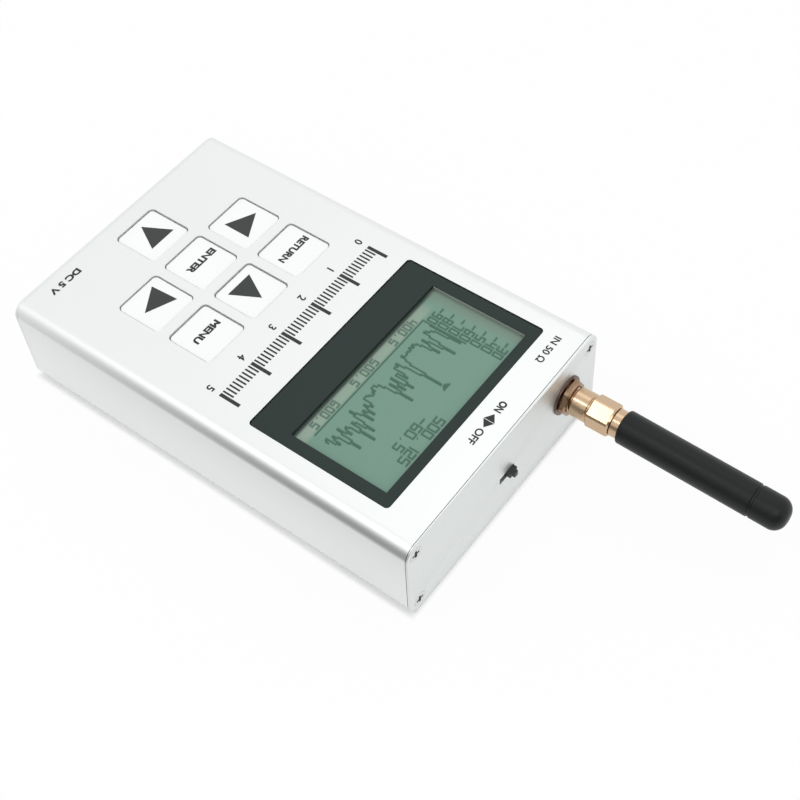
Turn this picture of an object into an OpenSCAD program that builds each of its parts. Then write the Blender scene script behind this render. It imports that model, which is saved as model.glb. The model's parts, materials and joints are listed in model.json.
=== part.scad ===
// Handheld spectrum analyser, in millimetres.
// A slim aluminium case holds a display, seven keys, a slide switch and a screw-on whip antenna.
// X runs to the right across the front, Y towards the antenna end, Z out of the front.
// The origin is the middle of the back face.

/* [Case] */
// Width of the case
case_w = 70; // [68:1:90]
// Length of the case over both end plates
case_l = 113; // [112:1:140]
// Thickness of the case, back face to front face
case_h = 25; // [24:0.5:32]
// Wall thickness of the extruded shell
wall_t = 1.8; // [1.4:0.1:2.4]
// Radius of the rounded long edges
edge_r = 3.4; // [1.2:0.1:3.6]
// Thickness of each end plate
plate_t = 1; // [1:0.1:2]
// Distance from the side of the case to the visible edge of the back cover
cover_margin = 8; // [7.5:0.1:9]
// Thickness of the back cover where it shows
cover_t = 1.8; // [1.4:0.1:2.4]
// Width of the tongue on each long edge of the back cover
tongue_w = 2; // [1.4:0.1:2.4]
// Thickness of that tongue
tongue_t = 1.2; // [0.8:0.1:1.4]
// Height of the rails that hold the main board
rail_h = 1.2; // [0.8:0.1:2]
// Reach of those rails from the side walls
rail_reach = 1.5; // [1:0.1:2]

/* [Case screws] */
// Thread diameter of the end plate screws
screw_d = 2; // [1.9:0.1:2.2]
// Diameter of the countersunk screw head
screw_head_d = 3.8; // [3:0.1:3.9]
// Length of the screw over its head
screw_l = 8; // [5:0.5:12]
// Distance of the screws from the sides of the case
screw_inset_x = 3; // [2.8:0.1:3.4]
// Distance of the screws from the front and back faces
screw_inset_z = 3.4; // [3.2:0.1:3.8]
// Metal around each screw channel
channel_wall = 1.4; // [1:0.1:1.6]
// Length of each arm of the cross recess in a screw head
recess_l = 2.2; // [1.6:0.1:2.4]
// Width of the cross recess
recess_w = 0.65; // [0.4:0.05:0.7]
// Depth of the cross recess
recess_depth = 0.7; // [0.4:0.1:0.8]

/* [Display] */
// Distance from the sides of the case to the display frame
display_side_gap = 6.7; // [6.2:0.1:10]
// Length of the display frame
display_l = 36.8; // [32:0.2:38]
// Corner radius of the display frame
display_corner_r = 1; // [0.5:0.1:2]
// Distance from the antenna end to the display frame
display_end_gap = 9.8; // [9.6:0.2:12]
// Width of the frame on each side of the visible glass
view_side_border = 3.1; // [2.8:0.1:6]
// Width of the frame between the visible glass and the antenna end
view_antenna_border = 2.6; // [2.4:0.1:5]
// Width of the frame between the visible glass and the keys
view_key_border = 8.8; // [4:0.1:11]
// Depth of the frame below the front face
bezel_sink = 0.3; // [0:0.1:0.6]
// Thickness of the frame over the glass
bezel_t = 1; // [0.6:0.1:1.2]
// Wall thickness of the frame's skirt
bezel_wall = 0.8; // [0.5:0.1:1]
// Thickness of the liquid crystal glass
glass_t = 1.8; // [1.4:0.1:2.4]
// Thickness of the light guide behind the glass
backlight_t = 2.7; // [2:0.1:3]
// Thickness of the display's circuit board
display_board_t = 1.2; // [0.8:0.1:1.6]
// Length of the tabs that the display board is screwed down by
display_tab_l = 4; // [3.8:0.1:4.4]
// Distance of the tab screws from the display's sides
tab_screw_inset = 2.9; // [2.5:0.1:4]
// Outer diameter of the spacers under the display board
spacer_d = 3.5; // [3:0.1:3.6]
// Diameter of the spigot of a spacer
spigot_d = 2.6; // [2.2:0.1:2.8]
// Thread diameter of the display screws
display_screw_d = 1.6; // [1.4:0.1:1.8]
// Thread length of the display screws
display_screw_l = 4; // [2:0.1:5]
// Head diameter of the display screws
display_screw_head_d = 3; // [2.6:0.1:3.4]
// Head height of the display screws
display_screw_head_h = 1.2; // [0.8:0.1:1.6]
// Length of the pin header between the two boards
header_l = 30.5; // [20:0.5:36]
// Width of the pin header
header_w = 2.5; // [2:0.1:3]

/* [Keys] */
// Width and length of a key opening
key_hole = 12.7; // [11.4:0.1:13]
// Corner radius of a key opening
key_corner_r = 1.3; // [0.8:0.1:2.5]
// Distance between key columns
key_pitch_x = 15.2; // [14.6:0.1:17]
// Distance between key rows
key_pitch_y = 15.4; // [14.6:0.1:15.8]
// Distance of the middle key column from the middle of the case, towards the antenna's side
key_side_shift = 0.4; // [0:0.1:1]
// Distance from the socket end to the middle of the lowest key
key_end_gap = 11.2; // [10.6:0.1:14]
// Depth of the key tops below the front face
key_sink = 0.35; // [0:0.05:0.5]
// Width of a key's flange behind the front wall
key_lip_w = 0.6; // [0.4:0.1:0.7]
// Thickness of a key's flange
key_flange_t = 1; // [0.6:0.1:1.4]
// Diameter of the stem under a key
key_stem_d = 4.4; // [3.6:0.1:6]
// Travel of a key
key_travel = 0.3; // [0.2:0.05:0.5]
// Width and length of a push switch
push_switch_w = 6; // [5:0.1:7]
// Height of a push switch body
push_switch_h = 3.4; // [3:0.1:4]
// Height of a push switch with its plunger
plunger_top_h = 6; // [5:0.1:6.4]
// Diameter of a plunger
plunger_d = 3.4; // [2.8:0.1:3.6]
// Depth of a plunger inside its switch body
plunger_depth = 2; // [1.5:0.1:2.2]

/* [Main board] */
// Distance from the front face to the top of the main board
board_drop = 11.1; // [10.9:0.1:11.6]
// Thickness of the main board
board_t = 1; // [0.8:0.1:2]
// Gap between the main board and the socket end plate
board_end_gap = 1; // [0.5:0.1:2]
// Width of the radio shield can
can_w = 16; // [12:0.5:18]
// Length of the radio shield can
can_l = 20; // [14:0.5:22]
// Height of the radio shield can
can_h = 3; // [2:0.1:3.4]
// Gap between the shield can and the board rail beside it
can_side_gap = 0.6; // [0.3:0.1:2]
// Distance from the antenna end plate to the shield can
can_end_gap = 9; // [7:0.5:11]
// Width of the processor
processor_w = 12; // [8:0.5:14]
// Height of the processor
processor_h = 1.2; // [0.8:0.1:1.6]
// Distance from the middle of the board to the processor, towards the socket end
processor_shift = 6; // [0:0.5:12]
// Width of the small interface chip
interface_w = 5; // [4:0.5:7]
// Height of the small interface chip
interface_h = 0.9; // [0.6:0.1:1.2]
// Length of the crystal can
crystal_l = 5; // [3:0.1:6]
// Width of the crystal can
crystal_w = 3.2; // [2:0.1:4]
// Height of the crystal can
crystal_h = 1.1; // [0.7:0.1:1.5]
// Gap between neighbouring parts on the board
part_gap = 3; // [2:0.5:5]

/* [Power switch] */
// Length of the slide switch body
slide_l = 8.8; // [8.4:0.1:10]
// Depth of the slide switch body
slide_depth = 4.6; // [4.2:0.1:6]
// Height of the slide switch body
slide_h = 3.4; // [3.2:0.1:4]
// Wall thickness of the slide switch body
slide_wall = 0.5; // [0.4:0.05:0.6]
// Travel of the lever
lever_travel = 2.4; // [1.5:0.1:2.8]
// Width of the lever
lever_w = 2.6; // [2:0.1:2.8]
// Height of the lever
lever_h = 1.6; // [1.2:0.1:1.7]
// Reach of the lever beyond the end plate
lever_reach = 1.7; // [1.5:0.1:4]
// Width of the narrower tip of the lever
lever_tip_w = 1.2; // [1:0.1:2]
// Length of the narrower tip of the lever
lever_tip_l = 0.7; // [0.4:0.1:1.2]
// Overhang of the shoe inside the switch, on each side of the lever
shoe_lip = 0.4; // [0.3:0.05:0.5]

/* [Antenna socket] */
// Distance of the antenna socket from the side of the case
socket_side_gap = 12.1; // [11:0.1:14.5]
// Thread diameter of the antenna socket
thread_d = 6.35; // [6:0.05:6.6]
// Diameter of the socket's flange behind the end plate
socket_flange_d = 9; // [8.6:0.1:9.6]
// Thickness of that flange
socket_flange_t = 2; // [1.2:0.1:2.2]
// Bore of the socket around its insulator
socket_bore_d = 4.1; // [3.8:0.05:4.3]
// Depth of the counterbore that takes the plug's nose
nose_depth = 1.9; // [1.2:0.1:2.4]
// Diameter of the plug's nose
nose_d = 4.5; // [4.4:0.05:4.8]
// Diameter of the centre contact
contact_d = 1.27; // [1.2:0.01:1.5]
// Length of the centre contact's tail on the board
contact_tail = 1.6; // [1:0.1:1.8]
// Length of the legs that hold the socket on the board
leg_l = 1.6; // [1:0.1:1.8]
// Width and height of those legs
leg_w = 1; // [0.6:0.1:1]
// Distance of the legs from the socket's axis
leg_offset = 2.5; // [2:0.1:2.6]
// Diameter of the lock washer
washer_d = 9.8; // [9.4:0.1:11]
// Thickness of the lock washer
washer_t = 0.5; // [0.4:0.1:1]
// Size of the panel nut across its flats
panel_nut_af = 8; // [7.6:0.1:8.4]
// Thickness of the panel nut
panel_nut_t = 1.8; // [1.4:0.1:2.4]

/* [Antenna] */
// Gap between the panel nut and the coupling nut
coupling_gap = 0.5; // [0.3:0.1:1]
// Diameter of the coupling nut's round collar
collar_d = 7; // [6.9:0.1:7.6]
// Length of that collar
collar_l = 4.1; // [3:0.1:5]
// Size of the coupling nut across its flats
coupling_af = 7.1; // [7:0.1:8.2]
// Length of the hexagon
hexagon_l = 5.8; // [5:0.1:7]
// Length of thread that the coupling nut holds
engagement = 5.4; // [4.5:0.1:6]
// Diameter of the plug's shoulder inside the coupling nut
shoulder_d = 6; // [5.8:0.1:6.2]
// Thickness of that shoulder
shoulder_t = 1; // [0.6:0.1:1.4]
// Diameter of the plug's neck
neck_d = 5; // [4.4:0.1:5.3]
// Bore of the plug around its insulator
plug_bore_d = 3; // [2.4:0.1:3.4]
// Diameter of the centre pin
pin_d = 0.92; // [0.8:0.02:1]
// Reach of the centre pin beyond the plug's nose
pin_reach = 2.2; // [1.5:0.1:2.5]
// Diameter of the crimp ring
ring_d = 6.6; // [6:0.1:7.4]
// Length of the crimp ring
ring_l = 2; // [1:0.1:3]
// Diameter of the plug's spigot inside the sleeve
spigot_out_d = 4; // [3.8:0.1:4.6]
// Length of that spigot
spigot_l = 6.6; // [4:0.1:10]
// Diameter of the sleeve at its base
sleeve_base_d = 7.9; // [7.6:0.1:9]
// Diameter of the sleeve at its tip
sleeve_tip_d = 7.7; // [7.4:0.1:8.6]
// Length of the sleeve
sleeve_l = 40.1; // [38:0.1:90]
// Bore of the sleeve
sleeve_bore_d = 5.4; // [5.2:0.1:6]
// Thickness of the closed end of the sleeve
sleeve_end_t = 3; // [2.5:0.1:5]
// Rounding of the sleeve's tip
tip_r = 3; // [1:0.1:3.4]
// Rounding of the sleeve's base
base_r = 0.4; // [0.2:0.1:0.6]
// Distance from the tip to the groove around the sleeve
groove_gap = 8; // [6:0.5:14]
// Width of that groove
groove_w = 0.5; // [0.3:0.1:1]
// Depth of that groove
groove_depth = 0.15; // [0.1:0.05:0.3]
// Wire diameter of the antenna coil
wire_d = 0.8; // [0.5:0.1:1]
// Number of turns of the antenna coil
coil_turns = 10; // [5:1:12]

/* [Data socket] */
// Distance of the data socket from the side of the case
data_side_gap = 12.9; // [11:0.1:16]
// Width of the data socket
data_w = 7.7; // [7.4:0.1:8.6]
// Height of the data socket
data_h = 3.9; // [3.6:0.1:4.2]
// Length of the data socket
data_l = 9; // [8:0.1:11]
// Sheet thickness of the data socket
data_sheet = 0.3; // [0.2:0.05:0.4]
// Narrowing of the socket's lower half on each side
data_taper = 0.75; // [0.4:0.05:1]
// Height of the socket's wide half
data_shoulder = 2.1; // [1.8:0.1:2.4]
// Width of the contact tongue
tongue_plate_w = 4; // [3:0.1:4.4]
// Thickness of the contact tongue
tongue_plate_t = 0.7; // [0.5:0.1:0.9]
// Distance of the tongue's end behind the socket's mouth
tongue_sink = 0.9; // [0.5:0.1:2]
// Length of the block that holds the tongue
data_block_l = 3; // [2:0.1:4]
// Depth of the socket's mouth, and of the lamp, below the end plate's face
socket_sink = 0.2; // [0:0.1:0.5]
// Distance between the data socket and the charge lamp
lamp_gap = 9; // [8:0.1:12]
// Width of the charge lamp's body
lamp_w = 2.4; // [2:0.1:3]
// Diameter of the charge lamp's lens
lamp_d = 1.8; // [1.4:0.1:2]

/* [Battery] */
// Width of the battery
battery_w = 44; // [30:1:52]
// Length of the battery
battery_l = 64; // [50:1:66]
// Gap between the battery and the parts under the main board
battery_room = 2.3; // [1.5:0.1:3.3]
// Distance from the socket end plate to the battery
battery_end_gap = 12; // [11:0.5:14]
// Thickness of the foam pad under the battery
pad_t = 0.8; // [0.5:0.1:1.2]
// Edge of the battery that the foam pad leaves free
pad_margin = 4; // [1:0.5:8]
// Corner radius of the battery
battery_corner_r = 1.5; // [0.5:0.1:3]
// Distance of the battery plug from the middle of the case
plug_offset = 10; // [6:0.5:14]
// Width of the battery plug
plug_w = 5.9; // [5:0.1:6.4]
// Height of the battery plug
plug_h = 3.6; // [3:0.1:4]
// Length of the battery plug
plug_l = 8; // [6:0.1:9]
// Length of the plug that stands out of its socket
plug_out = 2; // [1:0.1:3]
// Wall thickness of the plug's socket
plug_socket_wall = 0.7; // [0.5:0.1:1]
// Distance between the two leads
lead_pitch = 2; // [1.6:0.1:2.4]
// Diameter of a lead
lead_d = 1.2; // [0.8:0.1:1.4]
// Length of the leads between battery and plug
lead_run = 8; // [6:0.5:9]
// Straight stretch at each end of a lead
lead_straight = 2.5; // [1:0.1:2.9]

/* [Clearances] */
// Gap between the back cover and the shell
cover_clear = 0.15; // [0.05:0.05:0.3]
// Gap around the display frame and around the glass inside it
display_clear = 0.2; // [0.1:0.05:0.4]
// Gap around a key
key_clear = 0.25; // [0.15:0.05:0.45]
// Gap between a key's flange and the front wall
flange_clear = 0.1; // [0.05:0.05:0.2]
// Gap between the antenna coil and the sleeve's bore
coil_clear = 0.2; // [0.1:0.05:0.4]
// Gap between the main board and the shell
board_clear = 0.1; // [0.05:0.05:0.2]
// Radial gap around a screw, thread, pin or plunger
round_clear = 0.05; // [0.02:0.01:0.1]
// Gap around the lever and its shoe
lever_clear = 0.2; // [0.1:0.05:0.3]
// Gap between the faces of the plug, its nut and its ring
seat_gap = 0.15; // [0.1:0.05:0.3]
// Gap between a socket or lamp and its opening in the end plate
opening_clear = 0.3; // [0.1:0.05:0.5]

/* [Hidden] */
$fn = 64;
// Overlap of a cutting shape past the face that it cuts
cut = 1;
// Sides of the antenna wire and rings in one turn of it
wire_sides = 6;
turn_rings = 12;
// Turn of the coupling nut that puts a flat towards the front right
coupling_turn = 30;
// Key names with their column and row, counted from the middle column and the top row
KEYS = [
    ["return", -1, 0],
    ["up", 0, 0],
    ["menu", 1, 0],
    ["left", -1, 1],
    ["enter", 0, 1],
    ["right", 1, 1],
    ["down", 0, 2]
];
key_rows = 3;

// Planes of the case
antenna_end = case_l / 2;
socket_end = -case_l / 2;
antenna_inner = antenna_end - plate_t;
socket_inner = socket_end + plate_t;
inner_w = case_w - 2 * wall_t;
front_inner = case_h - wall_t;
cover_half = case_w / 2 - cover_margin;
cover_top = cover_t + tongue_t;
screw_x = case_w / 2 - screw_inset_x;
channel_r = screw_d / 2 + channel_wall;
head_depth = (screw_head_d - screw_d) / 2;

// Planes of the main board
board_top = case_h - board_drop;
board_bottom = board_top - board_t;
board_half = inner_w / 2 - board_clear;
board_y0 = socket_inner + board_end_gap;
board_y1 = antenna_inner - socket_flange_t;

// Planes of the display, from the front inwards
display_y = antenna_end - display_end_gap - display_l / 2;
display_w = case_w - 2 * display_side_gap;
view_w = display_w - 2 * view_side_border;
view_l = display_l - view_antenna_border - view_key_border;
view_shift = (view_key_border - view_antenna_border) / 2;
bezel_top = case_h - bezel_sink;
glass_top = bezel_top - bezel_t;
backlight_top = glass_top - glass_t;
display_board_top = backlight_top - backlight_t;
display_board_bottom = display_board_top - display_board_t;
glass_w = display_w - 2 * (bezel_wall + display_clear);
glass_l = display_l - 2 * (bezel_wall + display_clear);
tab_x = display_w / 2 - tab_screw_inset;
tab_y = (display_l + display_tab_l) / 2;

// Planes of the keys
key_w = key_hole - 2 * key_clear;
key_top = case_h - key_sink;
flange_w = key_hole + 2 * key_lip_w;
flange_top = front_inner - flange_clear;
flange_bottom = flange_top - key_flange_t;
plunger_top = board_top + plunger_top_h;
plunger_bottom = board_top + push_switch_h - plunger_depth;
lowest_row_y = socket_end + key_end_gap;

// Places of the slide switch
slide_y1 = antenna_inner - lever_clear;
slide_y0 = slide_y1 - slide_depth;
slide_z = board_bottom - slide_h / 2;
lever_x = -lever_travel / 2;
slot_w = lever_w + lever_travel + 2 * lever_clear;
slot_h = lever_h + 2 * lever_clear;
shoe_w = lever_w + 2 * shoe_lip;
shoe_h = slide_h - 2 * (slide_wall + lever_clear);
shoe_y0 = slide_y0 + slide_wall + lever_clear;
shoe_y1 = slide_y1 - slide_wall - lever_clear;

// Places along the antenna's axis
socket_x = socket_side_gap - case_w / 2;
socket_z = board_top + contact_d / 2 + round_clear;
washer_end = antenna_end + washer_t;
panel_nut_end = washer_end + panel_nut_t;
coupling_y0 = panel_nut_end + coupling_gap;
hexagon_y0 = coupling_y0 + collar_l;
coupling_y1 = hexagon_y0 + hexagon_l;
thread_end = coupling_y0 + engagement;
nose_seat = thread_end - nose_depth;
nose_y0 = nose_seat + seat_gap;
shoulder_y0 = thread_end + seat_gap;
shoulder_y1 = shoulder_y0 + shoulder_t;
coupling_step = shoulder_y1 + seat_gap;
ring_y0 = coupling_y1 + seat_gap;
sleeve_y0 = ring_y0 + ring_l;
spigot_end = sleeve_y0 + spigot_l;
pin_end = spigot_end + seat_gap;
coil_r = sleeve_bore_d / 2 - coil_clear - wire_d / 2;
coil_y0 = spigot_end + seat_gap + wire_d / 2;
coil_y1 = sleeve_y0 + sleeve_l - sleeve_end_t - seat_gap - wire_d / 2;
coil_pitch = (coil_y1 - coil_y0) / coil_turns;

// Places of the data socket and the charge lamp
data_x = case_w / 2 - data_side_gap;
data_z = board_bottom - data_h / 2;
data_y0 = socket_end + socket_sink;
data_y1 = data_y0 + data_l;
lamp_x = data_x - lamp_gap;
lamp_z = board_bottom - lamp_w / 2;

// Places of the battery and its plug
battery_y0 = socket_inner + battery_end_gap;
battery_y1 = battery_y0 + battery_l;
battery_z0 = cover_top + pad_t;
battery_t = board_bottom - max(processor_h, crystal_h, interface_h) - battery_room - battery_z0;
lead_z0 = battery_z0 + battery_t / 2;
plug_y0 = battery_y1 + lead_run;
plug_socket_y0 = plug_y0 + plug_out;
plug_socket_w = plug_w + 2 * (plug_socket_wall + round_clear);
plug_socket_h = plug_h + 2 * (plug_socket_wall + round_clear);
plug_z = board_bottom - plug_socket_h / 2;

// Places of the chips under the board
can_x = -(inner_w / 2 - rail_reach - can_side_gap - can_w / 2);
can_y1 = antenna_inner - can_end_gap;
processor_y = -processor_shift;
interface_y = data_y1 + part_gap + interface_w / 2;
crystal_x = (processor_w + crystal_l) / 2 + part_gap;

// Rectangle with round corners, centred on the origin
module rounded_square(w, l, r) {
    square([w - 2 * r, l], center = true);
    square([w, l - 2 * r], center = true);
    for (sx = [-1, 1], sy = [-1, 1])
        translate([sx * (w / 2 - r), sy * (l / 2 - r)]) circle(r);
}

// Plate with round corners between two heights
module rounded_plate(w, l, r, z0, z1) {
    translate([0, 0, z0]) linear_extrude(z1 - z0) rounded_square(w, l, r);
}

// Box given by the middle of its plan, its plan size and two heights
module box(x, y, w, l, z0, z1) {
    translate([x - w / 2, y - l / 2, z0]) cube([w, l, z1 - z0]);
}

// Outline drawn in X and Z, drawn out along Y
module along_y(y0, y1) {
    translate([0, y1, 0]) rotate([90, 0, 0]) linear_extrude(y1 - y0) children();
}

// Round bar along the antenna's axis
module axis_bar(d, y0, y1) {
    translate([socket_x, y0, socket_z]) rotate([-90, 0, 0]) cylinder(d = d, h = y1 - y0);
}

// Hexagonal bar along the antenna's axis
module axis_hexagon(af, turn, y0, y1) {
    translate([socket_x, y0, socket_z]) rotate([-90, 0, 0]) rotate([0, 0, turn])
        cylinder(d = af / cos(30), h = y1 - y0, $fn = 6);
}

// Round bar from one point to another
module bar(from, to, d) {
    run = to - from;
    span = norm(run);
    translate(from) rotate([0, acos(run.z / span), atan2(run.y, run.x)])
        cylinder(d = d, h = span);
}

// Places of the four screws of an end plate, in X and Z
module at_screws() {
    for (x = [-screw_x, screw_x], z = [screw_inset_z, case_h - screw_inset_z])
        translate([x, z]) children();
}

// Outline of the case across its length
module case_outline() {
    translate([0, case_h / 2]) rounded_square(case_w, case_h, edge_r);
}

// Blocks along the four inner corners that hold the screw channels
module corner_blocks() {
    block_w = screw_inset_x + channel_r;
    lower_w = cover_margin - cover_clear;
    for (s = [-1, 1]) {
        translate([s * (case_w - block_w - wall_t) / 2, case_h - (screw_inset_z + channel_r + wall_t) / 2])
            square([block_w - wall_t, screw_inset_z + channel_r - wall_t], center = true);
        translate([s * (case_w - lower_w - wall_t) / 2, (screw_inset_z + channel_r + cover_t) / 2])
            square([lower_w - wall_t, screw_inset_z + channel_r - cover_t], center = true);
    }
}

// Rails above and below the edges of the main board
module board_rails() {
    for (s = [-1, 1], z = [board_bottom - board_clear - rail_h, board_top + board_clear])
        translate([s * (inner_w - rail_reach) / 2, z + rail_h / 2])
            square([rail_reach, rail_h], center = true);
}

// Opening in the shell that the back cover slides into
module cover_slot() {
    gap_w = 2 * (cover_half + cover_clear);
    slot_w = gap_w + 2 * tongue_w;
    translate([-gap_w / 2, -cut]) square([gap_w, cover_t + cut]);
    translate([-slot_w / 2, cover_t]) square([slot_w, tongue_t + cover_clear]);
}

module front_shell() {
    display_cut = [display_w + 2 * display_clear, display_l + 2 * display_clear];
    color("gainsboro") difference() {
        along_y(socket_inner, antenna_inner) difference() {
            union() {
                difference() {
                    case_outline();
                    translate([-inner_w / 2, cover_t]) square([inner_w, front_inner - cover_t]);
                }
                corner_blocks();
                board_rails();
            }
            cover_slot();
            at_screws() circle(d = screw_d + 2 * round_clear);
        }
        translate([0, display_y, 0])
            rounded_plate(display_cut.x, display_cut.y, display_corner_r, display_board_top, case_h + cut);
        at_keys() rounded_plate(key_hole, key_hole, key_corner_r, flange_top, case_h + cut);
    }
}

module back_cover() {
    color("silver") along_y(socket_inner + cover_clear, antenna_inner - cover_clear) {
        translate([-cover_half, 0]) square([2 * cover_half, cover_top]);
        translate([-cover_half - tongue_w, cover_t]) square([2 * (cover_half + tongue_w), tongue_t]);
    }
}

// Flat end plate with four countersunk holes; side is 1 at the antenna end and -1 at the other
module end_plate(side) {
    outer = side * antenna_end;
    inner = side * antenna_inner;
    difference() {
        along_y(min(outer, inner), max(outer, inner)) case_outline();
        at_plate_screws(side) {
            translate([0, 0, -plate_t - cut]) cylinder(d = screw_d + 2 * round_clear, h = plate_t + 2 * cut);
            translate([0, 0, -head_depth])
                cylinder(
                    d1 = screw_d + 2 * round_clear,
                    d2 = screw_head_d + 2 * round_clear,
                    h = head_depth
                );
        }
    }
}

// Frame at each screw of an end plate, with its Z axis out of the plate
module at_plate_screws(side) {
    for (x = [-screw_x, screw_x], z = [screw_inset_z, case_h - screw_inset_z])
        translate([x, side * antenna_end, z]) rotate([-90 * side, 0, 0]) children();
}

module antenna_end_plate() {
    color("gainsboro") difference() {
        end_plate(1);
        axis_bar(thread_d + 2 * round_clear, antenna_inner - cut, antenna_end + cut);
        translate([-slot_w / 2, antenna_inner - cut, slide_z - slot_h / 2])
            cube([slot_w, plate_t + 2 * cut, slot_h]);
    }
}

module socket_end_plate() {
    mouth = [data_w + 2 * opening_clear, data_h + 2 * opening_clear];
    color("gainsboro") difference() {
        end_plate(-1);
        along_y(socket_end - cut, socket_inner + cut) {
            translate([data_x, data_z]) square(mouth, center = true);
            translate([lamp_x, lamp_z]) circle(d = lamp_d + 2 * round_clear);
        }
    }
}

// Countersunk screw with a cross recess; its Z axis points out of its head
module countersunk_screw() {
    difference() {
        union() {
            translate([0, 0, -head_depth]) cylinder(d1 = screw_d, d2 = screw_head_d, h = head_depth);
            translate([0, 0, -screw_l]) cylinder(d = screw_d, h = screw_l - head_depth);
        }
        for (turn = [0, 90])
            rotate([0, 0, turn]) box(0, 0, recess_l, recess_w, -recess_depth, cut);
    }
}

module antenna_end_screws() {
    color("dimgray") at_plate_screws(1) countersunk_screw();
}

module socket_end_screws() {
    color("dimgray") at_plate_screws(-1) countersunk_screw();
}

// Frame that covers the edge of the glass and wraps down to the display board
module display_bezel() {
    color("#2e3634") translate([0, display_y, 0]) difference() {
        rounded_plate(display_w, display_l, display_corner_r, display_board_top, bezel_top);
        box(0, 0, display_w - 2 * bezel_wall, display_l - 2 * bezel_wall, display_board_top - cut, glass_top);
        box(0, view_shift, view_w, view_l, display_board_top, bezel_top + cut);
    }
}

module display_glass() {
    color("#7c9e8e") box(0, display_y, glass_w, glass_l, backlight_top, glass_top);
}

module display_backlight() {
    color("ivory") box(0, display_y, glass_w, glass_l, display_board_top, backlight_top);
}

// Frame at each of the display's four screws
module at_tab_screws() {
    for (sx = [-1, 1], sy = [-1, 1])
        translate([sx * tab_x, display_y + sy * tab_y, 0]) children();
}

module display_board() {
    color("darkgreen") difference() {
        box(0, display_y, display_w, display_l + 2 * display_tab_l, display_board_bottom, display_board_top);
        at_tab_screws() translate([0, 0, display_board_bottom - cut])
            cylinder(d = display_screw_d + 2 * round_clear, h = display_board_t + 2 * cut);
    }
}

module display_header() {
    color("#202020") box(0, display_y - tab_y, header_l, header_w, board_top, display_board_bottom);
}

module display_spacers() {
    color("goldenrod") at_tab_screws() difference() {
        union() {
            translate([0, 0, board_top]) cylinder(d = spacer_d, h = display_board_bottom - board_top);
            translate([0, 0, board_bottom]) cylinder(d = spigot_d, h = board_t);
        }
        translate([0, 0, board_bottom - cut]) cylinder(
            d = display_screw_d + 2 * round_clear,
            h = display_board_bottom - board_bottom + 2 * cut
        );
    }
}

module display_screws() {
    color("silver") at_tab_screws() difference() {
        union() {
            translate([0, 0, display_board_top]) cylinder(d = display_screw_head_d, h = display_screw_head_h);
            translate([0, 0, display_board_top - display_screw_l])
                cylinder(d = display_screw_d, h = display_screw_l);
        }
        for (turn = [0, 90])
            rotate([0, 0, turn])
                box(
                    0, 0, recess_l, recess_w,
                    display_board_top + display_screw_head_h - recess_depth,
                    display_board_top + display_screw_head_h + cut
                );
    }
}

// Middle of a key at a column and row
function key_place(column, row) = [
    column * key_pitch_x - key_side_shift,
    lowest_row_y + (key_rows - 1 - row) * key_pitch_y,
    0
];

// Frame at every key
module at_keys() {
    for (key = KEYS) translate(key_place(key[1], key[2])) children();
}

// Key cap with the flange that keeps it in the case and the stem that presses its switch
module key_cap(column, row) {
    color("whitesmoke") translate(key_place(column, row)) {
        rounded_plate(key_w, key_w, key_corner_r - key_clear, flange_bottom, key_top);
        box(0, 0, flange_w, flange_w, flange_bottom, flange_top);
        translate([0, 0, plunger_top]) cylinder(d = key_stem_d, h = flange_bottom - plunger_top);
    }
}

module plunger(column, row) {
    color("#303030") translate(key_place(column, row)) translate([0, 0, plunger_bottom])
        cylinder(d = plunger_d, h = plunger_top - plunger_bottom);
}

module push_switch_bodies() {
    well = plunger_bottom - key_travel - seat_gap;
    color("#404040") at_keys() difference() {
        box(0, 0, push_switch_w, push_switch_w, board_top, board_top + push_switch_h);
        translate([0, 0, well]) cylinder(d = plunger_d + 2 * round_clear, h = push_switch_h);
    }
}

module main_board() {
    color("forestgreen") difference() {
        translate([-board_half, board_y0, board_bottom]) cube([2 * board_half, board_y1 - board_y0, board_t]);
        at_tab_screws() translate([0, 0, board_bottom - cut])
            cylinder(d = spigot_d + 2 * round_clear, h = board_t + 2 * cut);
    }
}

// Part soldered under the main board
module under_board(x, y, w, l, h) {
    box(x, y, w, l, board_bottom - h, board_bottom);
}

module radio_shield_can() {
    color("lightgray") under_board(can_x, can_y1 - can_l / 2, can_w, can_l, can_h);
}

module processor_chip() {
    color("#252525") under_board(0, processor_y, processor_w, processor_w, processor_h);
}

module interface_chip() {
    color("#252525") under_board(data_x, interface_y, interface_w, interface_w, interface_h);
}

module crystal_can() {
    color("lightgray") under_board(crystal_x, processor_y, crystal_l, crystal_w, crystal_h);
}

module slide_switch_body() {
    shoe_room = [shoe_w + lever_travel + 2 * lever_clear, shoe_h + 2 * lever_clear];
    color("darkgray") difference() {
        box(0, (slide_y0 + slide_y1) / 2, slide_l, slide_depth, slide_z - slide_h / 2, board_bottom);
        along_y(shoe_y0 - lever_clear, shoe_y1 + lever_clear)
            translate([0, slide_z]) square(shoe_room, center = true);
        along_y(shoe_y1, slide_y1 + cut)
            translate([0, slide_z]) square([slot_w, slot_h], center = true);
    }
}

// Lever with a shoe inside the switch and a stepped tip outside the case
module slide_switch_lever() {
    tip_y0 = antenna_end + lever_reach - lever_tip_l;
    color("#202020") translate([lever_x, 0, slide_z]) {
        along_y(shoe_y0, shoe_y1) square([shoe_w, shoe_h], center = true);
        along_y(shoe_y0, tip_y0) square([lever_w, lever_h], center = true);
        along_y(shoe_y0, antenna_end + lever_reach) square([lever_tip_w, lever_h], center = true);
    }
}

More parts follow.
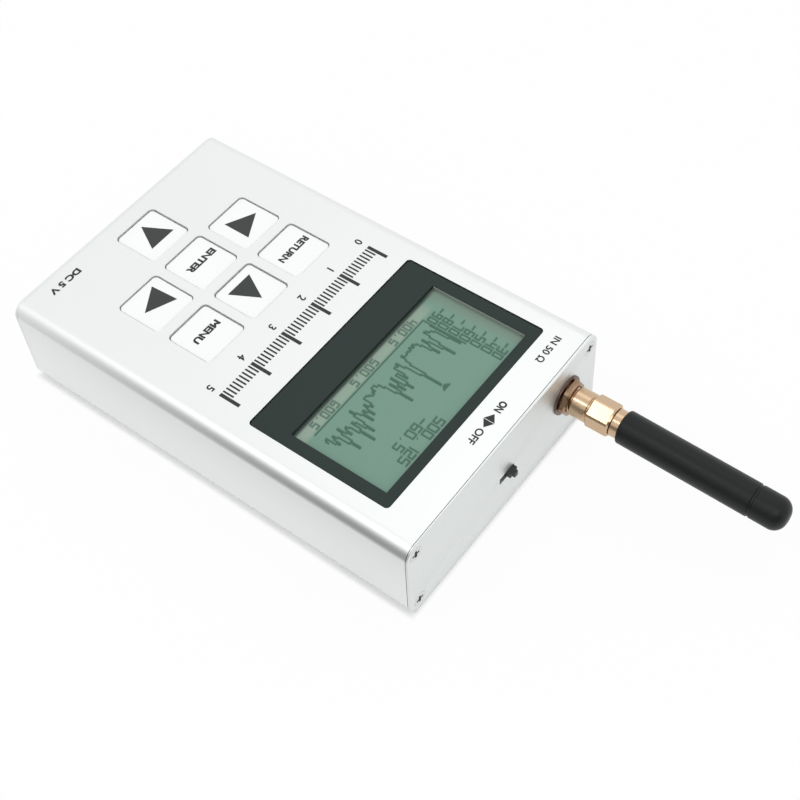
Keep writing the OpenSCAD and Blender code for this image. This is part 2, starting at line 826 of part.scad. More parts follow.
// Threaded socket with a flange behind the end plate and legs that straddle the board
module antenna_socket() {
    color("goldenrod") difference() {
        union() {
            axis_bar(socket_flange_d, board_y1, antenna_inner);
            axis_bar(thread_d, board_y1, thread_end);
            for (s = [-1, 1], z = [board_top, board_bottom - leg_w])
                box(
                    socket_x + s * leg_offset, board_y1 - leg_l / 2 + cut / 2,
                    leg_w, leg_l + cut, z, z + leg_w
                );
        }
        axis_bar(socket_bore_d, board_y1 - cut, thread_end + cut);
        axis_bar(nose_d + 2 * round_clear, nose_seat, thread_end + cut);
    }
}

module socket_insulator() {
    color("white") difference() {
        axis_bar(socket_bore_d - 2 * round_clear, board_y1, nose_seat);
        axis_bar(contact_d + 2 * round_clear, board_y1 - cut, nose_seat + cut);
    }
}

module socket_contact() {
    pin_tip = nose_y0 - pin_reach;
    color("gold") difference() {
        axis_bar(contact_d, board_y1 - contact_tail, nose_seat);
        axis_bar(pin_d + 2 * round_clear, pin_tip - seat_gap, nose_seat + cut);
    }
}

module lock_washer() {
    color("tan") difference() {
        axis_bar(washer_d, antenna_end, washer_end);
        axis_bar(thread_d + 2 * round_clear, antenna_end - cut, washer_end + cut);
    }
}

module panel_nut() {
    color("tan") difference() {
        axis_hexagon(panel_nut_af, 0, washer_end, panel_nut_end);
        axis_bar(thread_d + 2 * round_clear, washer_end - cut, panel_nut_end + cut);
    }
}

// Nut that turns on the plug and draws it onto the socket's thread
module coupling_nut() {
    color("tan") difference() {
        union() {
            axis_bar(collar_d, coupling_y0, hexagon_y0);
            axis_hexagon(coupling_af, coupling_turn, hexagon_y0, coupling_y1);
        }
        axis_bar(thread_d + 2 * round_clear, coupling_y0 - cut, coupling_step);
        axis_bar(neck_d + 2 * round_clear, coupling_step - cut, coupling_y1 + cut);
    }
}

// Metal core of the plug: nose, shoulder, neck and the spigot that carries the sleeve
module antenna_plug() {
    color("goldenrod") difference() {
        union() {
            axis_bar(nose_d, nose_y0, shoulder_y1);
            axis_bar(shoulder_d, shoulder_y0, shoulder_y1);
            axis_bar(neck_d, shoulder_y0, sleeve_y0);
            axis_bar(spigot_out_d, shoulder_y0, spigot_end);
        }
        axis_bar(plug_bore_d, nose_y0 - cut, spigot_end + cut);
    }
}

module plug_insulator() {
    color("white") difference() {
        axis_bar(plug_bore_d - 2 * round_clear, nose_y0, spigot_end);
        axis_bar(pin_d + 2 * round_clear, nose_y0 - cut, spigot_end + cut);
    }
}

module plug_pin() {
    color("gold") axis_bar(pin_d, nose_y0 - pin_reach, pin_end);
}

module crimp_ring() {
    color("tan") difference() {
        axis_bar(ring_d, ring_y0, sleeve_y0);
        axis_bar(neck_d + 2 * round_clear, ring_y0 - cut, sleeve_y0 + cut);
    }
}

// Middle of the coil's wire at a turn counted from its start
function coil_point(turn) = [
    socket_x + coil_r * cos(360 * turn),
    coil_y0 + coil_pitch * turn,
    socket_z + coil_r * sin(360 * turn)
];

// Points around the coil's wire at a turn, in the plane across the wire
function coil_ring(turn) =
    let (
        out = [cos(360 * turn), 0, sin(360 * turn)],
        lean = atan2(coil_pitch, 2 * PI * coil_r),
        run = [-sin(360 * turn) * cos(lean), sin(lean), cos(360 * turn) * cos(lean)],
        side = cross(run, out)
    )
    [
        for (i = [0 : wire_sides - 1])
            let (a = 360 * i / wire_sides)
            coil_point(turn) + wire_d / 2 * (cos(a) * out + sin(a) * side)
    ];

// Helical wire of the antenna, one unbroken tube
module antenna_coil() {
    rings = coil_turns * turn_rings;
    points = [for (i = [0 : rings]) each coil_ring(i / turn_rings)];
    sides = [
        for (i = [0 : rings - 1], j = [0 : wire_sides - 1])
            let (
                a = i * wire_sides + j,
                b = i * wire_sides + (j + 1) % wire_sides
            )
            each [[a, b, b + wire_sides], [a, b + wire_sides, a + wire_sides]]
    ];
    last = rings * wire_sides;
    first_cap = [for (j = [1 : wire_sides - 2]) [0, j + 1, j]];
    last_cap = [for (j = [1 : wire_sides - 2]) [last, last + j, last + j + 1]];
    neighbour_gaps = [
        for (i = [0 : rings - turn_rings])
            norm(coil_point(i / turn_rings + 1) - coil_point(i / turn_rings)) - wire_d
    ];
    echo(least_gap_between_turns = min(neighbour_gaps));
    color("peru") polyhedron(points, concat(sides, first_cap, last_cap));
}

// Moulded sleeve with a soft tip and a shallow groove
module antenna_sleeve() {
    base = sleeve_base_d / 2;
    tip = sleeve_tip_d / 2;
    color("#2b2e2d") translate([socket_x, sleeve_y0, socket_z]) rotate([-90, 0, 0]) difference() {
        rotate_extrude() {
            polygon([
                [0, 0],
                [base - base_r, 0],
                [base, base_r],
                [tip, sleeve_l - tip_r],
                [tip - tip_r, sleeve_l - tip_r],
                [tip - tip_r, sleeve_l],
                [0, sleeve_l]
            ]);
            translate([tip - tip_r, sleeve_l - tip_r]) intersection() {
                circle(tip_r);
                square(tip_r);
            }
        }
        translate([0, 0, -cut]) cylinder(d = sleeve_bore_d, h = sleeve_l - sleeve_end_t + cut);
        translate([0, 0, sleeve_l - groove_gap]) difference() {
            cylinder(r = base + cut, h = groove_w);
            translate([0, 0, -cut]) cylinder(r = tip - groove_depth, h = groove_w + 2 * cut);
        }
    }
}

// Outline of the data socket, wide on the side towards the board
module data_outline(inset) {
    half = data_w / 2 - inset;
    top = data_h / 2 - inset;
    narrow = half - data_taper;
    step = data_h / 2 - data_shoulder;
    translate([data_x, data_z]) polygon([
        [-half, top], [half, top], [half, step], [narrow, step - data_taper],
        [narrow, -top], [-narrow, -top], [-narrow, step - data_taper], [-half, step]
    ]);
}

module data_socket_shell() {
    color("silver") difference() {
        along_y(data_y0, data_y1) data_outline(0);
        along_y(data_y0 - cut, data_y1 - data_sheet) data_outline(data_sheet);
    }
}

module data_socket_insert() {
    block_y0 = data_y1 - data_sheet - data_block_l;
    color("#202020") {
        along_y(block_y0, data_y1 - data_sheet) data_outline(data_sheet + round_clear);
        along_y(data_y0 + tongue_sink, data_y1 - data_sheet)
            translate([data_x, data_z + data_sheet]) square([tongue_plate_w, tongue_plate_t], center = true);
    }
}

module charge_lamp() {
    lens_y0 = socket_end + socket_sink;
    color("honeydew") {
        under_board(lamp_x, board_y0 + lamp_w / 2, lamp_w, lamp_w, lamp_w);
        along_y(lens_y0, board_y0 + lamp_w / 2) translate([lamp_x, lamp_z]) circle(d = lamp_d);
    }
}

module battery() {
    color("lightsteelblue") translate([0, (battery_y0 + battery_y1) / 2, 0])
        rounded_plate(battery_w, battery_l, battery_corner_r, battery_z0, battery_z0 + battery_t);
}

module battery_pad() {
    color("#505050") box(
        0, (battery_y0 + battery_y1) / 2,
        battery_w - 2 * pad_margin, battery_l - 2 * pad_margin, cover_top, battery_z0
    );
}

// Lead from the battery to its plug; side is 1 or -1
module battery_lead(side) {
    x = plug_offset + side * lead_pitch / 2;
    route = [
        [x, battery_y1, lead_z0],
        [x, battery_y1 + lead_straight, lead_z0],
        [x, plug_y0 - lead_straight, plug_z],
        [x, plug_y0, plug_z]
    ];
    for (i = [0 : len(route) - 2]) bar(route[i], route[i + 1], lead_d);
    for (i = [1 : len(route) - 2]) translate(route[i]) sphere(d = lead_d);
}

module battery_lead_plus() {
    color("firebrick") battery_lead(1);
}

module battery_lead_minus() {
    color("#202020") battery_lead(-1);
}

module battery_plug() {
    color("white") box(
        plug_offset, plug_y0 + plug_l / 2, plug_w, plug_l,
        plug_z - plug_h / 2, plug_z + plug_h / 2
    );
}

module battery_socket() {
    deep = plug_l - plug_out;
    color("ivory") difference() {
        under_board(
            plug_offset, plug_socket_y0 + (deep + plug_socket_wall) / 2,
            plug_socket_w, deep + plug_socket_wall, plug_socket_h
        );
        along_y(plug_socket_y0 - cut, plug_socket_y0 + deep + round_clear) translate([plug_offset, plug_z])
            square([plug_w + 2 * round_clear, plug_h + 2 * round_clear], center = true);
    }
}

front_shell();
back_cover();
antenna_end_plate();
socket_end_plate();
antenna_end_screws();
socket_end_screws();
display_bezel();
display_glass();
display_backlight();
display_board();
display_header();
display_spacers();
display_screws();
for (key = KEYS) {
    key_cap(key[1], key[2]);
    plunger(key[1], key[2]);
}
push_switch_bodies();
main_board();
radio_shield_can();
processor_chip();
interface_chip();
crystal_can();
slide_switch_body();
slide_switch_lever();
antenna_socket();
socket_insulator();
socket_contact();
lock_washer();
panel_nut();
coupling_nut();
antenna_plug();
plug_insulator();
plug_pin();
crimp_ring();
antenna_coil();
antenna_sleeve();
data_socket_shell();
data_socket_insert();
charge_lamp();
battery();
battery_pad();
battery_lead_plus();
battery_lead_minus();
battery_plug();
battery_socket();
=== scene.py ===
"""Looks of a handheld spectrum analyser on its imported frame. Lengths are in metres."""
import json
import math
import random

import bmesh
import bpy
from mathutils import Matrix, Vector


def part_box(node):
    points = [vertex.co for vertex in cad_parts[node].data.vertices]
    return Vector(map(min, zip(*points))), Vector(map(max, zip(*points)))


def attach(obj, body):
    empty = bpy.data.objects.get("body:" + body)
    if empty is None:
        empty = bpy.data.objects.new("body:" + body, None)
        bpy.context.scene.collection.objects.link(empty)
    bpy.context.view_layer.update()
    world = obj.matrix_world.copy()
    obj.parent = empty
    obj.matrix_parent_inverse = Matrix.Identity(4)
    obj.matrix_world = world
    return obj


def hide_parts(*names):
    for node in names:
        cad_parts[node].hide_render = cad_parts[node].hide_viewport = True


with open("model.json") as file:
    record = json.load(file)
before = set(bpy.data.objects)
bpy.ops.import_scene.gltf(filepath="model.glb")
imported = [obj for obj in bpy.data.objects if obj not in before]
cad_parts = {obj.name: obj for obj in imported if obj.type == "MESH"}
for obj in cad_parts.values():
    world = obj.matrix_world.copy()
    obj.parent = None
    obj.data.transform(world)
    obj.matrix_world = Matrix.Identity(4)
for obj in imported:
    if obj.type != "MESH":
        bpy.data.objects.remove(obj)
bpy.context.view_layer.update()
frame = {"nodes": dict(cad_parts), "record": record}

MM = 0.001
RECORD = frame["record"]
BODY_OF = {node: body for body, nodes in RECORD["behaviour"]["bodies"].items() for node in nodes}
SLOT_OF = {part["node"]: part["material_slot"] for part in RECORD["subparts"]}

# Angles and gaps used when a CAD shape is copied
MERGE_GAP = 0.0005 * MM
FLAT_ANGLE = math.radians(0.4)
SHARP_ANGLE = math.radians(28)
SHADE_ANGLE = math.radians(20)

# Half the angle, in degrees, over which the corner of a nut is worn round
WORN_ANGLE = 4.5

# Print and the surfaces that carry it
PRINT_T = 0.02 * MM
FRONT_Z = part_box("front_shell")[1][2]
KEY_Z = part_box("key_enter")[1][2]
GLASS_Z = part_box("display_glass")[1][2]

# Window of the display frame: its corner at the far side and the keys, and the opposite one
SIDE_BAR = 3.1 * MM
KEY_BAR = 8.8 * MM
END_BAR = 2.6 * MM
FRAME_LOW, FRAME_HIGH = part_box("display_bezel")
WINDOW_LOW = Vector((FRAME_LOW[0] + SIDE_BAR, FRAME_LOW[1] + KEY_BAR))
WINDOW_HIGH = Vector((FRAME_HIGH[0] - SIDE_BAR, FRAME_HIGH[1] - END_BAR))


# Meshes

def add_object(name, mesh):
    """New object at the origin that shows a mesh."""
    obj = bpy.data.objects.new(name, mesh)
    bpy.context.scene.collection.objects.link(obj)
    return obj


def fill_object(name, shape):
    """New object from a bmesh, which is used up."""
    mesh = bpy.data.meshes.new(name)
    shape.to_mesh(mesh)
    shape.free()
    return add_object(name, mesh)


def bake_modifiers(obj):
    """Turns an object's modifiers into plain mesh."""
    graph = bpy.context.evaluated_depsgraph_get()
    mesh = bpy.data.meshes.new_from_object(
        obj.evaluated_get(graph), preserve_all_data_layers=True, depsgraph=graph
    )
    obj.modifiers.clear()
    obj.data = mesh


def copy_node(node, name):
    """Copy of a CAD node's shape with its doubles merged and its flat faces joined."""
    shape = bmesh.new()
    shape.from_mesh(frame["nodes"][node].data)
    bmesh.ops.remove_doubles(shape, verts=shape.verts, dist=MERGE_GAP)
    bmesh.ops.dissolve_limit(shape, angle_limit=FLAT_ANGLE, verts=shape.verts, edges=shape.edges)
    return fill_object(name, shape)


def shade_smooth(obj):
    """Smooth shading on curved faces, with flat faces kept flat up to their edges."""
    obj.data.polygons.foreach_set("use_smooth", [True] * len(obj.data.polygons))
    obj.data.set_sharp_from_angle(angle=SHADE_ANGLE)


def round_edges(obj, width):
    """Breaks the sharp edges of a piece by a width."""
    bevel = obj.modifiers.new("round_edges", "BEVEL")
    bevel.width = width
    bevel.segments = 2
    bevel.limit_method = "ANGLE"
    bevel.angle_limit = SHARP_ANGLE
    bake_modifiers(obj)
    shade_smooth(obj)


def dress(obj, body, material):
    """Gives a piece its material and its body."""
    obj.data.materials.clear()
    obj.data.materials.append(material)
    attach(obj, body)


def stand_for(obj, node, material):
    """Dresses a piece that stands for a CAD node."""
    dress(obj, BODY_OF[node], material)
    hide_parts(node)


def hexagon_reach(angle, flat):
    """Distance from the middle of a hexagon to its edge; a flat lies at angle zero."""
    off_flat = (angle + math.pi / 6) % (math.pi / 3) - math.pi / 6
    return flat / math.cos(off_flat)


def hexagon_angles(turn):
    """Angles around a hexagon, close together at its worn corners; a flat lies at the turn."""
    offsets = [-30 + WORN_ANGLE * i / 3 for i in range(4)] + list(range(-20, 21, 5))
    offsets += [30 - WORN_ANGLE * i / 3 for i in range(3, 0, -1)]
    return [turn + math.radians(60 * side + offset) for side in range(6) for offset in offsets]


def socket_centre():
    """Point on the antenna's axis at Y zero."""
    low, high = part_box("coupling_nut")
    return Vector(((low[0] + high[0]) / 2, 0.0, (low[2] + high[2]) / 2))


def turn_profile(name, profile, angles, flat=None, turn=0.0):
    """Ring turned about the antenna's axis from a closed loop of (radius, y) points.

    With a flat, what stands out of a hexagon of that inner radius is cut away.
    Angles and the turn of the hexagon's first flat count from +Z towards +X.
    """
    centre = socket_centre()
    shape = bmesh.new()
    rings = []
    for radius, y in profile:
        ring = []
        for angle in angles:
            reach = min(radius, hexagon_reach(angle - turn, flat)) if flat else radius
            ring.append(shape.verts.new((
                centre.x + reach * math.sin(angle), y, centre.z + reach * math.cos(angle),
            )))
        rings.append(ring)
    for low, high in zip(rings, rings[1:] + rings[:1]):
        for i in range(len(angles)):
            j = (i + 1) % len(angles)
            shape.faces.new((low[i], low[j], high[j], high[i]))
    bmesh.ops.remove_doubles(shape, verts=shape.verts, dist=MERGE_GAP)
    bmesh.ops.recalc_face_normals(shape, faces=shape.faces)
    obj = fill_object(name, shape)
    shade_smooth(obj)
    return obj


# Shader nodes

def add_node(tree, kind, inputs=None, **settings):
    """New node with its settings; an input takes a value, or a socket to link from."""
    node = tree.nodes.new(kind)
    for name, value in settings.items():
        setattr(node, name, value)
    for name, value in (inputs or {}).items():
        if isinstance(value, bpy.types.NodeSocket):
            tree.links.new(value, node.inputs[name])
        else:
            node.inputs[name].default_value = value
    return node


def math_node(tree, operation, first, second=0.0, third=0.0):
    """Result of a sum on one to three numbers or sockets."""
    node = add_node(tree, "ShaderNodeMath", {0: first, 1: second, 2: third}, operation=operation)
    return node.outputs[0]


def new_group(name, inputs, outputs):
    """Shader node group with named sockets: the tree, its given sockets and its result sockets."""
    tree = bpy.data.node_groups.new(name, "ShaderNodeTree")
    for label, value in inputs.items():
        kind = "NodeSocketFloat" if isinstance(value, float) else "NodeSocketColor"
        tree.interface.new_socket(label, in_out="INPUT", socket_type=kind).default_value = value
    for label, kind in outputs.items():
        tree.interface.new_socket(label, in_out="OUTPUT", socket_type=kind)
    return tree, tree.nodes.new("NodeGroupInput").outputs, tree.nodes.new("NodeGroupOutput").inputs


def make_grain_group():
    """Fine grain on broad soft patches: it varies a colour and a roughness, and gives a height."""
    tree, given, result = new_group(
        "surface_grain",
        {
            "Color": (0.5, 0.5, 0.5, 1.0),
            "Roughness": 0.5,
            "Grain Scale": 2000.0,
            "Patch Scale": 60.0,
            "Color Spread": 0.05,
            "Roughness Spread": 0.1,
        },
        {"Color": "NodeSocketColor", "Roughness": "NodeSocketFloat", "Height": "NodeSocketFloat"},
    )
    place = add_node(tree, "ShaderNodeTexCoord").outputs["Object"]
    grain = add_node(
        tree, "ShaderNodeTexNoise",
        {"Vector": place, "Scale": given["Grain Scale"], "Detail": 3.0},
    ).outputs["Fac"]
    patch = add_node(
        tree, "ShaderNodeTexNoise",
        {"Vector": place, "Scale": given["Patch Scale"], "Detail": 2.0},
    ).outputs["Fac"]
    swing = math_node(tree, "ADD", math_node(tree, "ADD", grain, patch), -1.0)
    gain = math_node(tree, "MULTIPLY_ADD", swing, given["Color Spread"], 1.0)
    colour = add_node(
        tree, "ShaderNodeVectorMath",
        {0: given["Color"], "Scale": gain}, operation="SCALE",
    ).outputs["Vector"]
    roughness = math_node(tree, "MULTIPLY_ADD", swing, given["Roughness Spread"], given["Roughness"])
    tree.links.new(colour, result["Color"])
    tree.links.new(roughness, result["Roughness"])
    tree.links.new(grain, result["Height"])
    return tree


def make_lines_group():
    """Faint lines that run along Y, as an extrusion die or a drawing tool leaves them."""
    tree, given, result = new_group(
        "drawn_lines",
        {"Lines Per Metre": 1400.0, "Run Scale": 3.0},
        {"Height": "NodeSocketFloat"},
    )
    place = add_node(tree, "ShaderNodeTexCoord").outputs["Object"]
    across = add_node(
        tree, "ShaderNodeCombineXYZ",
        {"X": given["Lines Per Metre"], "Y": given["Run Scale"], "Z": given["Lines Per Metre"]},
    ).outputs["Vector"]
    stretched = add_node(
        tree, "ShaderNodeVectorMath", {0: place, 1: across}, operation="MULTIPLY",
    ).outputs["Vector"]
    lines = add_node(
        tree, "ShaderNodeTexNoise", {"Vector": stretched, "Scale": 1.0, "Detail": 2.0},
    ).outputs["Fac"]
    tree.links.new(lines, result["Height"])
    return tree


GRAIN = make_grain_group()
LINES = make_lines_group()


def new_material(name):
    """Empty material: the material, its tree and its main shader."""
    material = bpy.data.materials.new(name)
    material.use_nodes = True
    tree = material.node_tree
    return material, tree, tree.nodes["Principled BSDF"]


def add_grain(tree, colour, roughness, grain, patch, colour_spread, roughness_spread):
    """Grain group placed in a material."""
    node = add_node(tree, "ShaderNodeGroup", node_tree=GRAIN)
    node.inputs["Color"].default_value = (*colour, 1.0)
    node.inputs["Roughness"].default_value = roughness
    node.inputs["Grain Scale"].default_value = grain
    node.inputs["Patch Scale"].default_value = patch
    node.inputs["Color Spread"].default_value = colour_spread
    node.inputs["Roughness Spread"].default_value = roughness_spread
    return node.outputs


def add_bump(tree, shader, height, depth, strength):
    """Relief of a given depth on a shader."""
    bump = add_node(
        tree, "ShaderNodeBump", {"Height": height, "Distance": depth, "Strength": strength},
    )
    tree.links.new(bump.outputs["Normal"], shader.inputs["Normal"])


def grained(
    name, colour, roughness, metallic=0.0, grain=2000.0, patch=60.0,
    colour_spread=0.06, roughness_spread=0.1, depth=0.02 * MM, strength=0.2, **sockets
):
    """Material with a fine grain; further sockets of the shader take plain values."""
    material, tree, shader = new_material(name)
    surface = add_grain(tree, colour, roughness, grain, patch, colour_spread, roughness_spread)
    tree.links.new(surface["Color"], shader.inputs["Base Color"])
    tree.links.new(surface["Roughness"], shader.inputs["Roughness"])
    shader.inputs["Metallic"].default_value = metallic
    add_bump(tree, shader, surface["Height"], depth, strength)
    for label, value in sockets.items():
        shader.inputs[label.replace("_", " ")].default_value = value
    return material


def edge_mask(tree, axis, edge, width):
    """Mask that falls from one at an edge across an axis to zero at a width beyond it."""
    place = add_node(tree, "ShaderNodeTexCoord").outputs["Object"]
    along = add_node(tree, "ShaderNodeSeparateXYZ", {"Vector": place}).outputs[axis]
    return add_node(
        tree, "ShaderNodeMapRange",
        {"Value": along, "From Min": edge, "From Max": edge + width, "To Min": 1.0, "To Max": 0.0},
        interpolation_type="SMOOTHSTEP",
    ).outputs["Result"]


def tinted(tree, colour, mask, strength, tint):
    """Colour that turns towards a tint where a mask is one."""
    node = add_node(
        tree, "ShaderNodeMix",
        {"Factor": math_node(tree, "MULTIPLY", mask, strength)}, data_type="RGBA",
    )
    tree.links.new(colour, node.inputs["A"])
    node.inputs["B"].default_value = (*tint, 1.0)
    return node.outputs["Result"]


def liquid_crystal(name, colour, pale_and_painted_shade):
    """Grey-green film, paler towards the keys, partly its own border and partly a painted reflection,
    with painted shade along two sides of its window.
    """
    # Tints: pale_tint for the pale band, key_shade a painted shadow of the frame, far_shade painted
    # shade beside the far wall
    pale_tint = (0.35, 0.41, 0.33)
    key_shade = (0.03, 0.045, 0.04)
    far_shade = (0.17, 0.19, 0.15)
    material, tree, shader = new_material(name)
    surface = add_grain(
        tree, colour, roughness=0.3, grain=900.0, patch=30.0, colour_spread=0.05, roughness_spread=0.05,
    )
    # Pale band towards the keys, fading out towards the far side: partly the film's own border, partly a
    # painted reflection
    near_keys = edge_mask(tree, "Y", edge=WINDOW_LOW.y + 2.6 * MM, width=1.6 * MM)
    faded = edge_mask(tree, "X", edge=WINDOW_LOW.x + 3.0 * MM, width=5.0 * MM)
    pale = math_node(tree, "MULTIPLY", near_keys, math_node(tree, "SUBTRACT", 1.0, faded))
    # Painted shadow of the frame along the key side of the window
    key_shadow_mask = edge_mask(tree, "Y", edge=WINDOW_LOW.y + 0.4 * MM, width=0.8 * MM)
    # Painted shade along the far side of the window: the frame's dark wall reflected in the glass
    far_shade_mask = edge_mask(tree, "X", edge=WINDOW_LOW.x + 0.8 * MM, width=3.6 * MM)
    tone = tinted(tree, surface["Color"], pale, strength=pale_and_painted_shade, tint=pale_tint)
    tone = tinted(tree, tone, key_shadow_mask, strength=0.85, tint=key_shade)
    tone = tinted(tree, tone, far_shade_mask, strength=pale_and_painted_shade, tint=far_shade)
    tree.links.new(tone, shader.inputs["Base Color"])
    tree.links.new(surface["Roughness"], shader.inputs["Roughness"])
    add_bump(tree, shader, surface["Height"], depth=0.01 * MM, strength=0.1)
    return material


def satin_aluminium(name, colour, roughness):
    """Anodised aluminium: a matt grain over faint lengthwise lines."""
    material, tree, shader = new_material(name)
    surface = add_grain(
        tree, colour, roughness, grain=5000.0, patch=25.0, colour_spread=0.035, roughness_spread=0.08,
    )
    lines = add_node(tree, "ShaderNodeGroup", node_tree=LINES).outputs["Height"]
    grain_share = 0.4
    height = math_node(tree, "MULTIPLY_ADD", surface["Height"], grain_share, lines)
    tree.links.new(surface["Color"], shader.inputs["Base Color"])
    tree.links.new(surface["Roughness"], shader.inputs["Roughness"])
    shader.inputs["Metallic"].default_value = 1.0
    add_bump(tree, shader, height, depth=0.02 * MM, strength=0.12)
    return material


# Finish of each plain material slot, in the words of grained
FINISHES = {
    "screw_steel": dict(colour=(0.72, 0.73, 0.73), roughness=0.4, metallic=1.0, grain=3000.0),
    "display_frame": dict(
        colour=(0.018, 0.031, 0.027), roughness=0.4, grain=4000.0, patch=40.0, colour_spread=0.2,
        Specular_IOR_Level=0.22,
    ),
    "light_guide": dict(colour=(0.85, 0.87, 0.8), roughness=0.2),
    "board_laminate": dict(
        colour=(0.02, 0.12, 0.05), roughness=0.35, grain=900.0, patch=90.0, colour_spread=0.4,
    ),
    "black_plastic": dict(
        colour=(0.015, 0.015, 0.015), roughness=0.45, grain=5000.0, patch=90.0, colour_spread=0.3,
    ),
    "key_plastic": dict(colour=(0.91, 0.92, 0.92), roughness=0.38, grain=5000.0, colour_spread=0.03),
    "sheet_steel": dict(colour=(0.62, 0.63, 0.63), roughness=0.3, metallic=1.0, grain=1500.0),
    "spacer_brass": dict(colour=(0.6, 0.42, 0.16), roughness=0.3, metallic=1.0),
    "gilt_brass": dict(
        colour=(0.6, 0.43, 0.28), roughness=0.22, metallic=1.0, grain=4000.0, patch=150.0,
        colour_spread=0.08, roughness_spread=0.03,
    ),
    "insulator": dict(colour=(0.85, 0.85, 0.82), roughness=0.45),
    "sleeve_rubber": dict(
        colour=(0.005, 0.007, 0.007), roughness=0.42, grain=2600.0, patch=80.0, colour_spread=0.3,
        roughness_spread=0.12, Specular_IOR_Level=0.28,
    ),
    "coil_copper": dict(colour=(0.6, 0.25, 0.12), roughness=0.3, metallic=1.0),
    "lamp_lens": dict(colour=(0.75, 0.85, 0.78), roughness=0.15),
    "battery_foil": dict(colour=(0.5, 0.52, 0.56), roughness=0.35, metallic=1.0, grain=600.0),
    "foam": dict(
        colour=(0.02, 0.02, 0.02), roughness=0.9, grain=1500.0, patch=90.0, colour_spread=0.5,
        roughness_spread=0.05, depth=0.1 * MM, strength=0.6,
    ),
    "lead_red": dict(colour=(0.4, 0.01, 0.01), roughness=0.45),
    "lead_black": dict(colour=(0.012, 0.012, 0.012), roughness=0.45),
    "connector_white": dict(colour=(0.8, 0.78, 0.7), roughness=0.4),
}
MATERIALS = {slot: grained(slot, **finish) for slot, finish in FINISHES.items()}
MATERIALS["satin_aluminium"] = satin_aluminium("satin_aluminium", (0.825, 0.845, 0.84), roughness=0.41)
MATERIALS["display_glass"] = liquid_crystal("display_glass", (0.146, 0.275, 0.213), pale_and_painted_shade=0.5)

# Finishes of single pieces and of the print; some of them carry painted shade or a painted highlight
# A darker copy of the case's aluminium for the end plates: painted shade on the end faces
SHADED_PLATE_ALUMINIUM = satin_aluminium("plate_aluminium_painted_shade", (0.78, 0.805, 0.795), roughness=0.47)
DARK_PIXEL = liquid_crystal("dark_pixel", (0.04, 0.114, 0.079), pale_and_painted_shade=0.12)
PIXEL_SHADOW = liquid_crystal("pixel_shadow", (0.085, 0.185, 0.137), pale_and_painted_shade=0.3)
INK = grained(
    "black_ink", (0.012, 0.012, 0.012), roughness=0.5, grain=6000.0, patch=120.0, colour_spread=0.3,
)
ARROW_INK = grained(
    "grey_ink", (0.023, 0.029, 0.026), roughness=0.5, grain=6000.0, patch=120.0, colour_spread=0.2,
)
# Darker brass for the panel nut: painted shade
SHADED_NUT_BRASS = grained(
    "nut_brass_painted_shade", (0.37, 0.24, 0.155), roughness=0.28, metallic=1.0,
    grain=4000.0, patch=150.0, colour_spread=0.1,
)
# Painted shade for the recesses of the screw heads
RECESS_SHADE = grained(
    "recess_painted_shade", (0.1, 0.1, 0.1), roughness=0.5, grain=3000.0, patch=120.0, colour_spread=0.2,
)
# Darkened bronze for the lock washer: painted shade
SHADED_WASHER_BRONZE = grained(
    "washer_bronze_painted_shade", (0.16, 0.105, 0.085), roughness=0.35, metallic=1.0,
    grain=3000.0, patch=150.0, colour_spread=0.2,
)
# Grey for the far inner wall of the display frame: a painted highlight
WALL_HIGHLIGHT = grained(
    "painted_wall_highlight", (0.24, 0.26, 0.24), roughness=0.35, grain=3000.0, patch=120.0, colour_spread=0.15,
)


# Geometry nodes

def new_geometry_tree(name, inputs):
    """Geometry tree with number inputs and a material input: the tree, its given sockets."""
    tree = bpy.data.node_groups.new(name, "GeometryNodeTree")
    tree.interface.new_socket("Geometry", in_out="INPUT", socket_type="NodeSocketGeometry")
    for label, value in inputs.items():
        socket = tree.interface.new_socket(label, in_out="INPUT", socket_type="NodeSocketFloat")
        socket.default_value = value
    tree.interface.new_socket("Material", in_out="INPUT", socket_type="NodeSocketMaterial")
    tree.interface.new_socket("Geometry", in_out="OUTPUT", socket_type="NodeSocketGeometry")
    return tree, tree.nodes.new("NodeGroupInput").outputs


def end_geometry_tree(tree, given, geometry):
    """Closes a geometry tree: instances made real, material set."""
    real = add_node(tree, "GeometryNodeRealizeInstances", {"Geometry": geometry})
    painted = add_node(
        tree, "GeometryNodeSetMaterial",
        {"Geometry": real.outputs["Geometry"], "Material": given["Material"]},
    )
    out = tree.nodes.new("NodeGroupOutput")
    tree.links.new(painted.outputs["Geometry"], out.inputs["Geometry"])


def make_marks_tree():
    """A flat rectangle of one size on every point."""
    tree, given = new_geometry_tree("flat_marks", {"Mark Width": MM, "Mark Length": MM})
    mark = add_node(
        tree, "GeometryNodeMeshGrid",
        {
            "Size X": given["Mark Width"], "Size Y": given["Mark Length"],
            "Vertices X": 2, "Vertices Y": 2,
        },
    )
    spread = add_node(
        tree, "GeometryNodeInstanceOnPoints",
        {"Points": given["Geometry"], "Instance": mark.outputs["Mesh"]},
    )
    end_geometry_tree(tree, given, spread.outputs["Instances"])
    return tree


